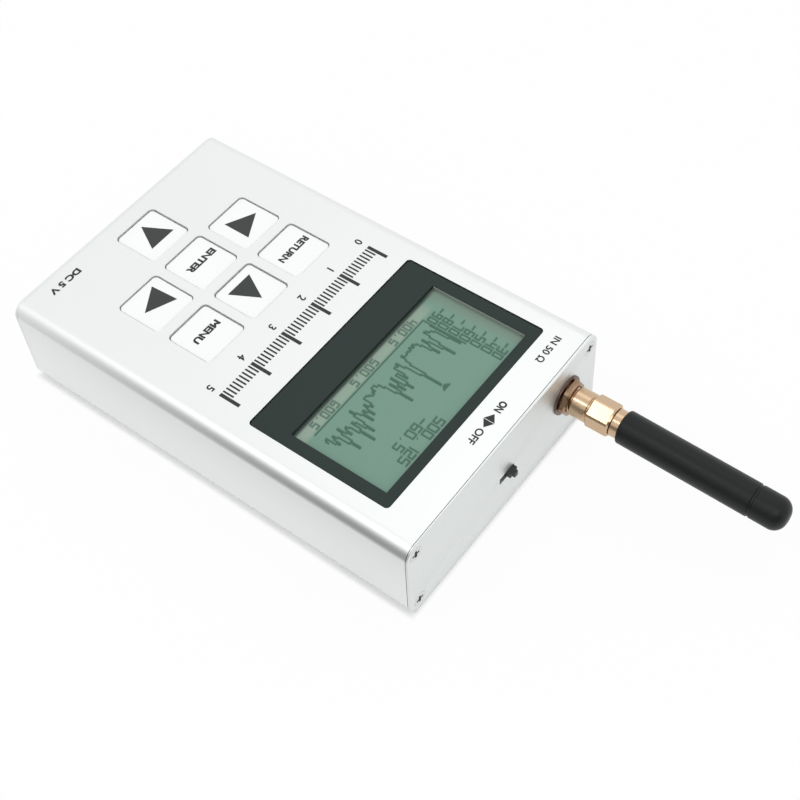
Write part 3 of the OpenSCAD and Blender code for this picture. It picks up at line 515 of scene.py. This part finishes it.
def make_thread_tree():
    """A helical ridge along Y from the origin."""
    tree, given = new_geometry_tree(
        "thread_ridge",
        {
            "Thread Radius": 3 * MM, "Thread Length": 5 * MM,
            "Thread Pitch": 0.7 * MM, "Ridge Radius": 0.2 * MM,
        },
    )
    turns = math_node(tree, "DIVIDE", given["Thread Length"], given["Thread Pitch"])
    helix = add_node(
        tree, "GeometryNodeCurveSpiral",
        {
            "Resolution": 32, "Rotations": turns, "Start Radius": given["Thread Radius"],
            "End Radius": given["Thread Radius"], "Height": given["Thread Length"], "Reverse": True,
        },
    )
    upright = add_node(
        tree, "GeometryNodeSetCurveNormal", {"Curve": helix.outputs["Curve"]}, mode="Z_UP",
    )
    ridge = add_node(
        tree, "GeometryNodeCurvePrimitiveCircle", {"Resolution": 4, "Radius": given["Ridge Radius"]},
    )
    swept = add_node(
        tree, "GeometryNodeCurveToMesh",
        {"Curve": upright.outputs["Curve"], "Profile Curve": ridge.outputs["Curve"], "Fill Caps": True},
    )
    along_y = add_node(
        tree, "GeometryNodeTransform",
        {"Geometry": swept.outputs["Mesh"], "Rotation": (-math.pi / 2, 0.0, 0.0)},
    )
    end_geometry_tree(tree, given, along_y.outputs["Geometry"])
    return tree


def grow(obj, tree, values):
    """Runs a geometry tree on an object with named values, and keeps the plain mesh."""
    modifier = obj.modifiers.new(tree.name, "NODES")
    modifier.node_group = tree
    for socket in tree.interface.items_tree:
        if socket.in_out == "INPUT" and socket.name in values:
            modifier[socket.identifier] = values[socket.name]
    bake_modifiers(obj)


MARKS = make_marks_tree()
THREAD = make_thread_tree()


def add_marks(name, points, width, length, material):
    """Object with a flat mark at every point."""
    mesh = bpy.data.meshes.new(name)
    mesh.from_pydata(points, [], [])
    obj = add_object(name, mesh)
    grow(obj, MARKS, {"Mark Width": width, "Mark Length": length, "Material": material})
    return obj


# Print

def outward(edge):
    """Direction in the plane of a flat shape, away from the one face at an edge."""
    along = edge.verts[1].co - edge.verts[0].co
    across = Vector((along.y, -along.x, 0.0)).normalized()
    inwards = edge.link_faces[0].calc_center_median() - edge.verts[0].co
    return -across if across.dot(inwards) > 0 else across


def embolden(mesh, width):
    """Widens the strokes of flat letters by a width on every side, in the units of the type."""
    gap = 0.0001
    sharpest = 0.5
    shape = bmesh.new()
    shape.from_mesh(mesh)
    bmesh.ops.remove_doubles(shape, verts=shape.verts, dist=gap)
    rim = [edge for edge in shape.edges if edge.is_boundary]
    shifts = {}
    for edge in rim:
        for vert in edge.verts:
            shifts.setdefault(tuple(vert.co), []).append(outward(edge))
    grown = bmesh.ops.extrude_edge_only(shape, edges=rim)["geom"]
    for vert in grown:
        if isinstance(vert, bmesh.types.BMVert):
            first, last = shifts[tuple(vert.co)][:2]
            vert.co += (first + last) * width / max(1.0 + first.dot(last), sharpest)
    shape.normal_update()
    bmesh.ops.reverse_faces(shape, faces=[face for face in shape.faces if face.normal.z < 0])
    shape.to_mesh(mesh)
    shape.free()


def word_shape(words, height, x, y, width=None, bold=False):
    """Flat mesh of a word of a height around a point, drawn out to a width if one is given."""
    stroke = 0.05 if bold else 0.025
    curve = bpy.data.curves.new("word", "FONT")
    curve.body = words
    holder = bpy.data.objects.new("word", curve)
    mesh = bpy.data.meshes.new_from_object(holder)
    bpy.data.objects.remove(holder)
    embolden(mesh, stroke)
    low_x = min(v.co.x for v in mesh.vertices)
    high_x = max(v.co.x for v in mesh.vertices)
    low_y = min(v.co.y for v in mesh.vertices)
    high_y = max(v.co.y for v in mesh.vertices)
    centre = Matrix.Translation((-(low_x + high_x) / 2, -(low_y + high_y) / 2, 0.0))
    tall = height / (high_y - low_y)
    wide = width / (high_x - low_x) if width else tall
    size = Matrix.Diagonal((wide, tall, 1.0, 1.0))
    mesh.transform(Matrix.Translation((x, y, 0.0)) @ size @ centre)
    return mesh


def triangle_shape(base, length, turn, x, y):
    """Flat triangle around a point; at no turn it points along X."""
    corners = [(-length / 2, -base / 2, 0.0), (length / 2, 0.0, 0.0), (-length / 2, base / 2, 0.0)]
    mesh = bpy.data.meshes.new("triangle")
    mesh.from_pydata(corners, [], [(0, 1, 2)])
    mesh.transform(Matrix.Translation((x, y, 0.0)) @ Matrix.Rotation(turn, 4, "Z"))
    return mesh


def print_shapes(name, shapes, z):
    """One flat object from several flat meshes, at a height."""
    together = bmesh.new()
    for mesh in shapes:
        together.from_mesh(mesh)
        bpy.data.meshes.remove(mesh)
    bmesh.ops.remove_doubles(together, verts=together.verts, dist=MERGE_GAP)
    bmesh.ops.translate(together, verts=together.verts, vec=(0.0, 0.0, z))
    return fill_object(name, together)


def print_front_words():
    """Plain words on the front: the switch's two ends, the socket's impedance and voltage."""
    row = 50.95 * MM
    height = 1.85 * MM
    arrow = (2.75 * MM, 2.0 * MM)
    shapes = [
        word_shape("ON", height, x=-5.7 * MM, y=row, width=3.1 * MM, bold=True),
        word_shape("OFF", height, x=3.5 * MM, y=row, width=4.4 * MM),
        triangle_shape(*arrow, turn=math.pi, x=-2.38 * MM, y=row),
        triangle_shape(*arrow, turn=0.0, x=-0.24 * MM, y=row),
        word_shape("IN 50 Ω", height, x=-24.4 * MM, y=50.6 * MM, width=8.2 * MM),
        word_shape("DC 5 V", height, x=22.1 * MM, y=-52.0 * MM, width=9.2 * MM, bold=True),
    ]
    dress(print_shapes("front_words", shapes, FRONT_Z), "case", INK)


def print_front_scale():
    """Plain scale with ticks and numbers between the display and the keys."""
    half = 26 * MM
    base_y = -0.6 * MM
    number_y = -3.4 * MM
    number_height = 2.0 * MM
    ticks = 50
    per_number = 10
    step = 2 * half / ticks
    sizes = {"scale_major_ticks": (0.9 * MM, 5.6 * MM), "scale_minor_ticks": (0.45 * MM, 3.0 * MM)}
    for name, (width, tall) in sizes.items():
        points = [
            (i * step - half, base_y + tall / 2, FRONT_Z)
            for i in range(ticks + 1)
            if (i % per_number == 0) == (name == "scale_major_ticks")
        ]
        dress(add_marks(name, points, width, tall, INK), "case", INK)
    last = ticks // per_number
    numbers = [
        word_shape(str(i), number_height, (i - last / 2) * per_number * step, number_y)
        for i in range(last + 1)
    ]
    dress(print_shapes("scale_numbers", numbers, FRONT_Z), "case", INK)


def print_keys():
    """A plain function word or an arrow on every key, off its middle by a drift in millimetres."""
    words = {"return": ("RETURN", 9.5 * MM), "enter": ("ENTER", 8.9 * MM), "menu": ("MENU", 7.8 * MM)}
    word_height = 1.9 * MM
    arrow = (7.5 * MM, 7.15 * MM)
    turns = {"right": 4, "up": 90, "left": 180, "down": 270}
    drift = {
        "return": (-0.3, -0.25), "up": (0.1, -0.2), "menu": (-0.35, -0.45), "left": (-0.7, 0.15),
        "enter": (-0.5, -0.45), "right": (0.05, -0.6), "down": (-0.45, -0.75),
    }
    for key in drift:
        low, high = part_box("key_" + key)
        x = (low[0] + high[0]) / 2 + drift[key][0] * MM
        y = (low[1] + high[1]) / 2 + drift[key][1] * MM
        if key in words:
            word, width = words[key]
            shapes = [word_shape(word, word_height, x, y, width, bold=True)]
            ink = INK
        else:
            shapes = [triangle_shape(*arrow, math.radians(turns[key]), x, y)]
            ink = ARROW_INK
        legend = print_shapes("legend_" + key, shapes, KEY_Z + PRINT_T)
        dress(legend, key + "_key", ink)


# Display

# Dot matrix of the display: pitch, first dot and size
DOT_X = 0.345 * MM
DOT_Y = 0.366 * MM
DOT_ORIGIN = (-21.9 * MM, 19.8 * MM)
DOT_COLUMNS = 128
DOT_FILL = 0.96

# Strokes of a plain figure on five by seven dots: a is the top bar, then clockwise, g the middle bar
STROKES = {
    "a": (0, 4, 6, 6), "b": (4, 4, 3, 6), "c": (4, 4, 0, 3), "d": (0, 4, 0, 0),
    "e": (0, 0, 0, 3), "f": (0, 0, 3, 6), "g": (0, 4, 3, 3), ".": (2, 2, 0, 0),
}
FIGURES = {
    "0": "abcdef", "1": "bc", "2": "abged", "3": "abgcd", "4": "fgbc", "5": "afgcd",
    "6": "afgedc", "7": "abc", "8": "abcdefg", "9": "abcdfg", "-": "g", ".": ".", " ": "",
}


def figure_dots(words, column, row, wide, tall):
    """Dots of a row of plain figures, with each figure wide and tall dots in size."""
    dots = set()
    for place, figure in enumerate(words):
        for stroke in FIGURES[figure]:
            x0, x1, y0, y1 = STROKES[stroke]
            for i in range(x0 * (wide - 1) // 4, x1 * (wide - 1) // 4 + 1):
                for j in range(y0 * (tall - 1) // 6, y1 * (tall - 1) // 6 + 1):
                    dots.add((column + place * (wide + 1) + i, row + j))
    return dots


def trace_dots(first, last, floor, seed):
    """Dots of a restless trace with steep peaks, joined from column to column."""
    chance = random.Random(seed)
    restless = 4
    half_peak = 2.6
    # Rise of each peak in rows, by its column
    peaks = {
        17: 22, 26: 22, 31: 13, 51: 28, 59: 11, 63: 18, 67: 14, 71: 22, 89: 8,
        93: 11, 97: 11, 103: 18, 108: 22, 113: 11, 118: 21, 123: 7,
    }
    dots = set()
    level = floor
    for column in range(first, last):
        lift = max(tall * (1 - abs(column - middle) / half_peak) for middle, tall in peaks.items())
        height = floor + chance.randint(0, restless) + max(int(lift), 0)
        for row in range(min(level, height), max(level, height) + 1):
            dots.add((column, row))
        level = height
    return dots


def build_display_dots():
    """Dots of the display and their shadows in the glass: a trace over an axis, with plain numbers."""
    line = 8
    top_line = 57
    axis = 16
    dots = {(column, line - 1) for column in range(axis, DOT_COLUMNS)}
    dots |= {(axis, row) for row in range(line, 5 * line)}
    dots |= trace_dots(axis + 1, DOT_COLUMNS, floor=13, seed=4)
    for place, words in enumerate(["400.5", "500.5", "600.5"]):
        dots |= figure_dots(words, 20 + 40 * place, 0, wide=4, tall=6)
    for place in range(7):
        dots |= figure_dots("-%d" % (30 + 10 * place), 1, top_line - line * place, wide=4, tall=7)
    dots |= figure_dots("500.125", 73, top_line, wide=5, tall=7)
    dots |= figure_dots("-60.5", 79, top_line - line, wide=5, tall=7)
    marker_row = 49
    marker_first = 48
    marker_end = 55
    for k in range(3):
        dots |= {(column, marker_row - k) for column in range(marker_first + k, marker_end - k)}
    layers = {
        "display_dots": (0.0, 1.0, DARK_PIXEL),
        "display_shadows": (-0.22 * MM, 0.5, PIXEL_SHADOW),
    }
    for name, (shift, height, material) in layers.items():
        points = [
            (
                DOT_ORIGIN[0] + (column + 0.5) * DOT_X + shift,
                DOT_ORIGIN[1] + (row + 0.5) * DOT_Y + shift,
                GLASS_Z + height * PRINT_T,
            )
            for column, row in sorted(dots)
        ]
        obj = add_marks(name, points, DOT_FILL * DOT_X, DOT_FILL * DOT_Y, material)
        dress(obj, "case", material)


# Case and connector

def seam_lean(point):
    """Distance by which the seam at the antenna end leans outwards, most at the near front corner."""
    middle_lean = 0.45 * MM
    twist = 0.006
    return (middle_lean + twist * point.x) * point.z / FRONT_Z


def fit_shell(obj):
    """Sinks the front face by the thickness of its print, and opens a seam at the antenna end."""
    seam = 0.14 * MM
    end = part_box("front_shell")[1][1]
    for vertex in obj.data.vertices:
        if vertex.co.y > end - MERGE_GAP:
            vertex.co.y += seam_lean(vertex.co) - seam
        vertex.co.z = min(vertex.co.z, FRONT_Z - PRINT_T)


def fit_plate(obj):
    """Leans the inner face of the antenna end plate as the seam leans."""
    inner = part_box("antenna_end_plate")[0][1]
    for vertex in obj.data.vertices:
        if vertex.co.y < inner + MERGE_GAP:
            vertex.co.y += seam_lean(vertex.co)


def draw_out_display(obj):
    """Moves the key side of the display's frame, or of its opening, a little towards the keys."""
    shift = 0.3 * MM
    margin = 0.5 * MM
    corner = 1.5 * MM
    for vertex in obj.data.vertices:
        if abs(vertex.co.x) < FRAME_HIGH[0] + margin and abs(vertex.co.y - FRAME_LOW[1]) < corner:
            vertex.co.y -= shift


def off_outline(x, z):
    """Distance of a point from the outline of the case across its length."""
    low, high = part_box("front_shell")
    edge_r = 3.4 * MM
    over_x = abs(x) - (high[0] - edge_r)
    over_z = abs(z - (low[2] + high[2]) / 2) - ((high[2] - low[2]) / 2 - edge_r)
    outside = math.hypot(max(over_x, 0.0), max(over_z, 0.0)) + min(max(over_x, over_z), 0.0)
    return abs(outside - edge_r)


def round_rim(obj, face_y, width):
    """Rounds the outer rim of an end plate on its outside."""
    reach = 0.02 * MM
    shape = bmesh.new()
    shape.from_mesh(obj.data)
    rim = [
        edge for edge in shape.edges
        if edge.calc_face_angle(0.0) > SHARP_ANGLE
        and all(abs(v.co.y - face_y) < reach and off_outline(v.co.x, v.co.z) < reach for v in edge.verts)
    ]
    bmesh.ops.bevel(shape, geom=rim, offset=width, segments=6, profile=0.5, affect="EDGES")
    shape.to_mesh(obj.data)
    shape.free()


def darken_recesses(obj, face_y):
    """Paints shade on what lies deep in a row of screw heads."""
    deep = 0.15 * MM
    obj.data.materials.append(RECESS_SHADE)
    for face in obj.data.polygons:
        if abs(face.center.y - face_y) > deep:
            face.material_index = 1


def build_case():
    """Case pieces with the fine edge breaks of real ones, whose widths are in millimetres."""
    edges = {
        "front_shell": 0.15, "back_cover": 0.15, "display_bezel": 0.25, "slide_switch_lever": 0.15,
        "data_socket_shell": 0.06, "charge_lamp": 0.1, "crimp_ring": 0.15,
    }
    for node, width in edges.items():
        piece = copy_node(node, node + "_piece")
        if node == "front_shell":
            fit_shell(piece)
        if node in ("front_shell", "display_bezel"):
            draw_out_display(piece)
        round_edges(piece, width * MM)
        stand_for(piece, node, MATERIALS[SLOT_OF[node]])


def build_ends():
    """End plates with rounded rims in a darker aluminium of painted shade, and their screws with painted
    shade in their recesses.
    """
    faces = {
        "antenna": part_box("antenna_end_plate")[1][1],
        "socket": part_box("socket_end_plate")[0][1],
    }
    for end, face_y in faces.items():
        plate = copy_node(end + "_end_plate", end + "_end_plate_piece")
        if end == "antenna":
            fit_plate(plate)
        round_rim(plate, face_y, 0.3 * MM)
        round_edges(plate, 0.06 * MM)
        stand_for(plate, end + "_end_plate", SHADED_PLATE_ALUMINIUM)
        screws = copy_node(end + "_end_screws", end + "_end_screws_piece")
        round_edges(screws, 0.05 * MM)
        stand_for(screws, end + "_end_screws", MATERIALS["screw_steel"])
        darken_recesses(screws, face_y)


def build_washer():
    """Lock washer of bronze darkened by painted shade."""
    piece = copy_node("lock_washer", "lock_washer_piece")
    round_edges(piece, 0.1 * MM)
    stand_for(piece, "lock_washer", SHADED_WASHER_BRONZE)


def build_window_edge():
    """Pale strip along the far inner wall of the display frame's opening: a painted highlight of that
    wall.
    """
    width = 0.15 * MM
    depth = 0.8 * MM
    end_gaps = 0.4 * MM
    size = Vector((width, WINDOW_HIGH.y - WINDOW_LOW.y - end_gaps, depth))
    middle_y = (WINDOW_LOW.y + WINDOW_HIGH.y) / 2
    shape = bmesh.new()
    bmesh.ops.create_cube(shape, size=1.0)
    bmesh.ops.scale(shape, verts=shape.verts, vec=size)
    bmesh.ops.translate(
        shape, verts=shape.verts, vec=(WINDOW_LOW.x + size.x / 2, middle_y, GLASS_Z + size.z / 2),
    )
    piece = fill_object("painted_wall_highlight", shape)
    round_edges(piece, 0.05 * MM)
    dress(piece, "case", WALL_HIGHLIGHT)


def build_keys():
    """Key caps with softly rounded tops."""
    for node in sorted(BODY_OF):
        if node.startswith("key_"):
            piece = copy_node(node, node + "_piece")
            round_edges(piece, 0.3 * MM)
            stand_for(piece, node, MATERIALS["key_plastic"])


def arc(radius, y, bend, first, last, steps):
    """Points (radius, y) on a bend around a middle, between two angles in degrees from the axis."""
    points = []
    for i in range(steps + 1):
        angle = math.radians(first + (last - first) * i / steps)
        points.append((radius + bend * math.sin(angle), y + bend * math.cos(angle)))
    return points


def hexagon_profile(flat, y0, y1):
    """Outer points of a hexagon along the axis, with both its ends chamfered.

    A second ring beside each chamfer keeps its shading off the flats.
    """
    cut = 0.1 * MM
    worn = flat / math.cos(math.radians(30 - WORN_ANGLE))
    chamfer = worn - flat
    held = chamfer + cut
    return [
        (flat - cut, y0), (worn, y0 + chamfer), (worn, y0 + held),
        (worn, y1 - held), (worn, y1 - chamfer), (flat - cut, y1),
    ]


def build_thread():
    """Antenna socket with a right-handed thread cut into its barrel."""
    crest = 3.175 * MM
    root = 2.74 * MM
    inch = 25.4 * MM
    pitch = inch / 36
    ridge = pitch * 0.54
    near = 0.02 * MM
    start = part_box("panel_nut")[0][1] + ridge
    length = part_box("antenna_socket")[1][1] - ridge - start
    centre = socket_centre()
    piece = copy_node("antenna_socket", "antenna_socket_piece")
    for vertex in piece.data.vertices:
        across = Vector((vertex.co.x - centre.x, 0.0, vertex.co.z - centre.z))
        if abs(across.length - crest) < near:
            vertex.co += across * (root / crest - 1.0)
    helix = add_object("thread", bpy.data.meshes.new("thread"))
    grow(helix, THREAD, {
        "Thread Radius": crest - ridge, "Thread Length": length, "Thread Pitch": pitch,
        "Ridge Radius": ridge, "Material": MATERIALS["gilt_brass"],
    })
    shape = bmesh.new()
    shape.from_mesh(helix.data)
    bmesh.ops.translate(shape, verts=shape.verts, vec=centre + Vector((0.0, start, 0.0)))
    bmesh.ops.recalc_face_normals(shape, faces=shape.faces)
    shape.from_mesh(piece.data)
    shape.to_mesh(piece.data)
    shape.free()
    bpy.data.objects.remove(helix)
    shade_smooth(piece)
    stand_for(piece, "antenna_socket", MATERIALS["gilt_brass"])


def build_nuts():
    """Panel nut and coupling nut with chamfered corners."""
    thread = 3.225 * MM
    low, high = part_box("panel_nut")
    flat = 4.0 * MM
    profile = [(thread, low[1]), *hexagon_profile(flat, low[1], high[1]), (thread, high[1])]
    nut = turn_profile("panel_nut_piece", profile, hexagon_angles(0.0), flat)
    # The panel nut's darker brass is painted shade
    stand_for(nut, "panel_nut", SHADED_NUT_BRASS)

    low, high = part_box("coupling_nut")
    flat = 3.55 * MM
    collar = 3.5 * MM
    neck = 2.55 * MM
    thread_end = 66.0 * MM
    hexagon_start = 63.4 * MM
    rim = 0.2 * MM
    profile = [
        (thread, low[1]), (collar - rim, low[1]), (collar, low[1] + rim),
        (collar, hexagon_start - 2 * rim), (collar - rim, hexagon_start - rim),
        (collar - rim, hexagon_start),
        *hexagon_profile(flat, hexagon_start, high[1]),
        (neck, high[1]), (neck, thread_end), (thread, thread_end),
    ]
    turn = math.pi / 6
    nut = turn_profile("coupling_nut_piece", profile, hexagon_angles(turn), flat, turn)
    stand_for(nut, "coupling_nut", MATERIALS["gilt_brass"])


def build_sleeve():
    """Moulded sleeve of the antenna, a little askew, with soft ends and a shallow groove."""
    low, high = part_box("antenna_sleeve")
    base = 3.95 * MM
    tip = 3.85 * MM
    bore = 2.7 * MM
    floor = high[1] - 3.0 * MM
    tip_bend = 3.0 * MM
    base_bend = 0.5 * MM
    pole = 0.2 * MM
    groove = high[1] - 8.0 * MM
    groove_end = groove + 0.5 * MM
    sunk = tip - 0.15 * MM
    lip = 0.12 * MM
    profile = [
        (bore, low[1]),
        *arc(base - base_bend, low[1] + base_bend, base_bend, 180, 90, 6),
        (tip + lip / 2, groove - lip), (sunk, groove), (sunk, groove_end), (tip, groove_end + lip),
        *arc(tip - tip_bend, high[1] - tip_bend, tip_bend, 90, 0, 10),
        (pole, high[1]), (pole, floor), (bore, floor),
    ]
    sides = 96
    angles = [math.tau * i / sides for i in range(sides)]
    piece = turn_profile("antenna_sleeve_piece", profile, angles)
    lean = math.tan(math.radians(1.2))
    for vertex in piece.data.vertices:
        vertex.co.x += lean * (vertex.co.y - low[1])
    stand_for(piece, "antenna_sleeve", MATERIALS["sleeve_rubber"])


def carry_over_nodes():
    """Materials for the CAD nodes that stay as they are."""
    for name, node in frame["nodes"].items():
        if not node.hide_render:
            node.data.materials.clear()
            node.data.materials.append(MATERIALS[SLOT_OF[name]])


# Stage

def add_stage():
    """Pale floor that looks white, keeps a soft shadow and is dark under the case in mirrored views."""
    size = 3.0
    dark_inside = -0.3 * MM
    clear_outside = 1.1 * MM
    seen_white = 0.92
    mirrored_white = 0.75
    mesh = bpy.data.meshes.new("floor")
    corners = [(-size, -size, 0.0), (size, -size, 0.0), (size, size, 0.0), (-size, size, 0.0)]
    mesh.from_pydata(corners, [], [(0, 1, 2, 3)])
    floor = add_object("floor", mesh)
    material, tree, shader = new_material("pale_floor")
    shader.inputs["Base Color"].default_value = (0.9, 0.9, 0.9, 1.0)
    shader.inputs["Roughness"].default_value = 1.0
    shader.inputs["Specular IOR Level"].default_value = 0.0
    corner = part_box("antenna_end_plate")[1]
    place = add_node(tree, "ShaderNodeTexCoord").outputs["Object"]
    axes = add_node(tree, "ShaderNodeSeparateXYZ", {"Vector": place}).outputs
    beside = math_node(tree, "SUBTRACT", math_node(tree, "ABSOLUTE", axes["X"]), corner[0])
    beyond = math_node(tree, "SUBTRACT", math_node(tree, "ABSOLUTE", axes["Y"]), corner[1])
    open_floor = add_node(
        tree, "ShaderNodeMapRange",
        {
            "Value": math_node(tree, "MAXIMUM", beside, beyond),
            "From Min": dark_inside, "From Max": clear_outside,
        },
        interpolation_type="SMOOTHSTEP",
    ).outputs["Result"]
    path = add_node(tree, "ShaderNodeLightPath").outputs
    mirrored = math_node(tree, "MAXIMUM", path["Is Glossy Ray"], path["Is Transmission Ray"])
    share = math_node(
        tree, "MAXIMUM",
        math_node(tree, "MULTIPLY", path["Is Camera Ray"], seen_white),
        math_node(tree, "MULTIPLY", mirrored, mirrored_white),
    )
    share = math_node(tree, "MULTIPLY", share, open_floor)
    white = add_node(tree, "ShaderNodeEmission", {"Strength": 1.0})
    blend = add_node(
        tree, "ShaderNodeMixShader", {0: share, 1: shader.outputs[0], 2: white.outputs[0]},
    )
    tree.links.new(blend.outputs[0], tree.nodes["Material Output"].inputs["Surface"])
    mesh.materials.append(material)


def add_card(name, rows):
    """Card out of the picture that only metal and gloss reflect, from rows of (corner, tone) pairs."""
    wide = len(rows[0])
    starts = [i * wide + j for i in range(len(rows) - 1) for j in range(wide - 1)]
    mesh = bpy.data.meshes.new(name)
    mesh.from_pydata(
        [corner for row in rows for corner, _ in row], [],
        [(i, i + 1, i + wide + 1, i + wide) for i in starts],
    )
    tones = mesh.attributes.new("tone", "FLOAT", "POINT")
    tones.data.foreach_set("value", [tone for row in rows for _, tone in row])
    card = add_object(name, mesh)
    material, tree, _ = new_material(name)
    tone = add_node(tree, "ShaderNodeAttribute", attribute_name="tone").outputs["Fac"]
    glow = add_node(tree, "ShaderNodeEmission", {"Strength": tone})
    tree.links.new(glow.outputs[0], tree.nodes["Material Output"].inputs["Surface"])
    mesh.materials.append(material)
    card.visible_camera = False
    card.visible_diffuse = False
    card.visible_shadow = False


def add_cards():
    """Grey cards beside the case and towards the camera, for the rounded edges and the bright metal."""
    low = 0.5 * MM
    side_top = 62 * MM
    front_top = 160 * MM
    pale = 0.6
    grey = 0.1
    bend = [(55 * MM, low, 0.9), (67 * MM, low, 0.0), (100 * MM, low, 0.0), (100 * MM, side_top, 0.0)]
    tones = [(-150 * MM, 1.0), (10 * MM, 0.26), (120 * MM, 0.34)]
    side = [[((x, y, z), max(tone, least)) for x, z, least in bend] for y, tone in tones]
    add_card("side_card", side)
    near_y = 62 * MM
    front = [
        [((100 * MM, near_y, low), pale), ((30 * MM, 160 * MM, low), pale)],
        [((140 * MM, near_y, low), grey), ((40 * MM, 200 * MM, low), grey)],
        [((330 * MM, near_y, low), grey), ((50 * MM, 400 * MM, low), grey)],
        [((330 * MM, near_y, front_top), grey), ((50 * MM, 400 * MM, front_top), grey)],
    ]
    add_card("front_card", front)


def add_world():
    """White sky for the camera and for gloss, and an even pale light for the rest."""
    world = bpy.data.worlds.new("sky")
    bpy.context.scene.world = world
    world.use_nodes = True
    tree = world.node_tree
    path = add_node(tree, "ShaderNodeLightPath").outputs
    seen = math_node(tree, "MAXIMUM", path["Is Camera Ray"], path["Is Glossy Ray"])
    seen = math_node(tree, "MAXIMUM", seen, path["Is Transmission Ray"])
    even_light = 0.88
    strength = math_node(tree, "MULTIPLY_ADD", seen, 1.0 - even_light, even_light)
    background = tree.nodes["Background"]
    background.inputs["Color"].default_value = (1.0, 1.0, 1.0, 1.0)
    tree.links.new(strength, background.inputs["Strength"])


def add_lamp(name, place, size, power):
    """Square soft lamp that faces the object."""
    data = bpy.data.lights.new(name, "AREA")
    data.size = size
    data.energy = power
    lamp = bpy.data.objects.new(name, data)
    lamp.location = place
    lamp.rotation_euler = Vector(place).to_track_quat("Z", "Y").to_euler()
    bpy.context.scene.collection.objects.link(lamp)


def add_camera():
    """Camera above the antenna end, tilted a little about its line of sight."""
    azimuth = math.radians(131.33)
    elevation = math.radians(53.21)
    roll = math.radians(-5.23)
    back = Vector((
        math.sin(azimuth) * math.cos(elevation),
        -math.cos(azimuth) * math.cos(elevation),
        math.sin(elevation),
    ))
    turn = back.to_track_quat("Z", "Y").to_matrix() @ Matrix.Rotation(roll, 3, "Z")
    data = bpy.data.cameras.new("camera")
    data.lens = 64.0
    data.sensor_width = 36.0
    camera = bpy.data.objects.new("camera", data)
    camera.location = (141.4 * MM, 152.2 * MM, 267.8 * MM)
    camera.rotation_euler = turn.to_euler()
    bpy.context.scene.collection.objects.link(camera)
    bpy.context.scene.camera = camera


add_camera()
add_stage()
add_cards()
add_world()
add_lamp("key_lamp", place=(0.6, 0.45, 1.0), size=0.5, power=2.0)
add_lamp("fill_lamp", place=(-0.5, -0.15, 1.1), size=0.5, power=0.5)
add_lamp("edge_lamp", place=(0.53, -0.35, 1.01), size=0.17, power=0.8)
build_case()
build_ends()
build_washer()
build_window_edge()
build_keys()
build_thread()
build_nuts()
build_sleeve()
print_front_words()
print_front_scale()
print_keys()
build_display_dots()
carry_over_nodes()
bpy.context.scene.view_settings.view_transform = "Standard"
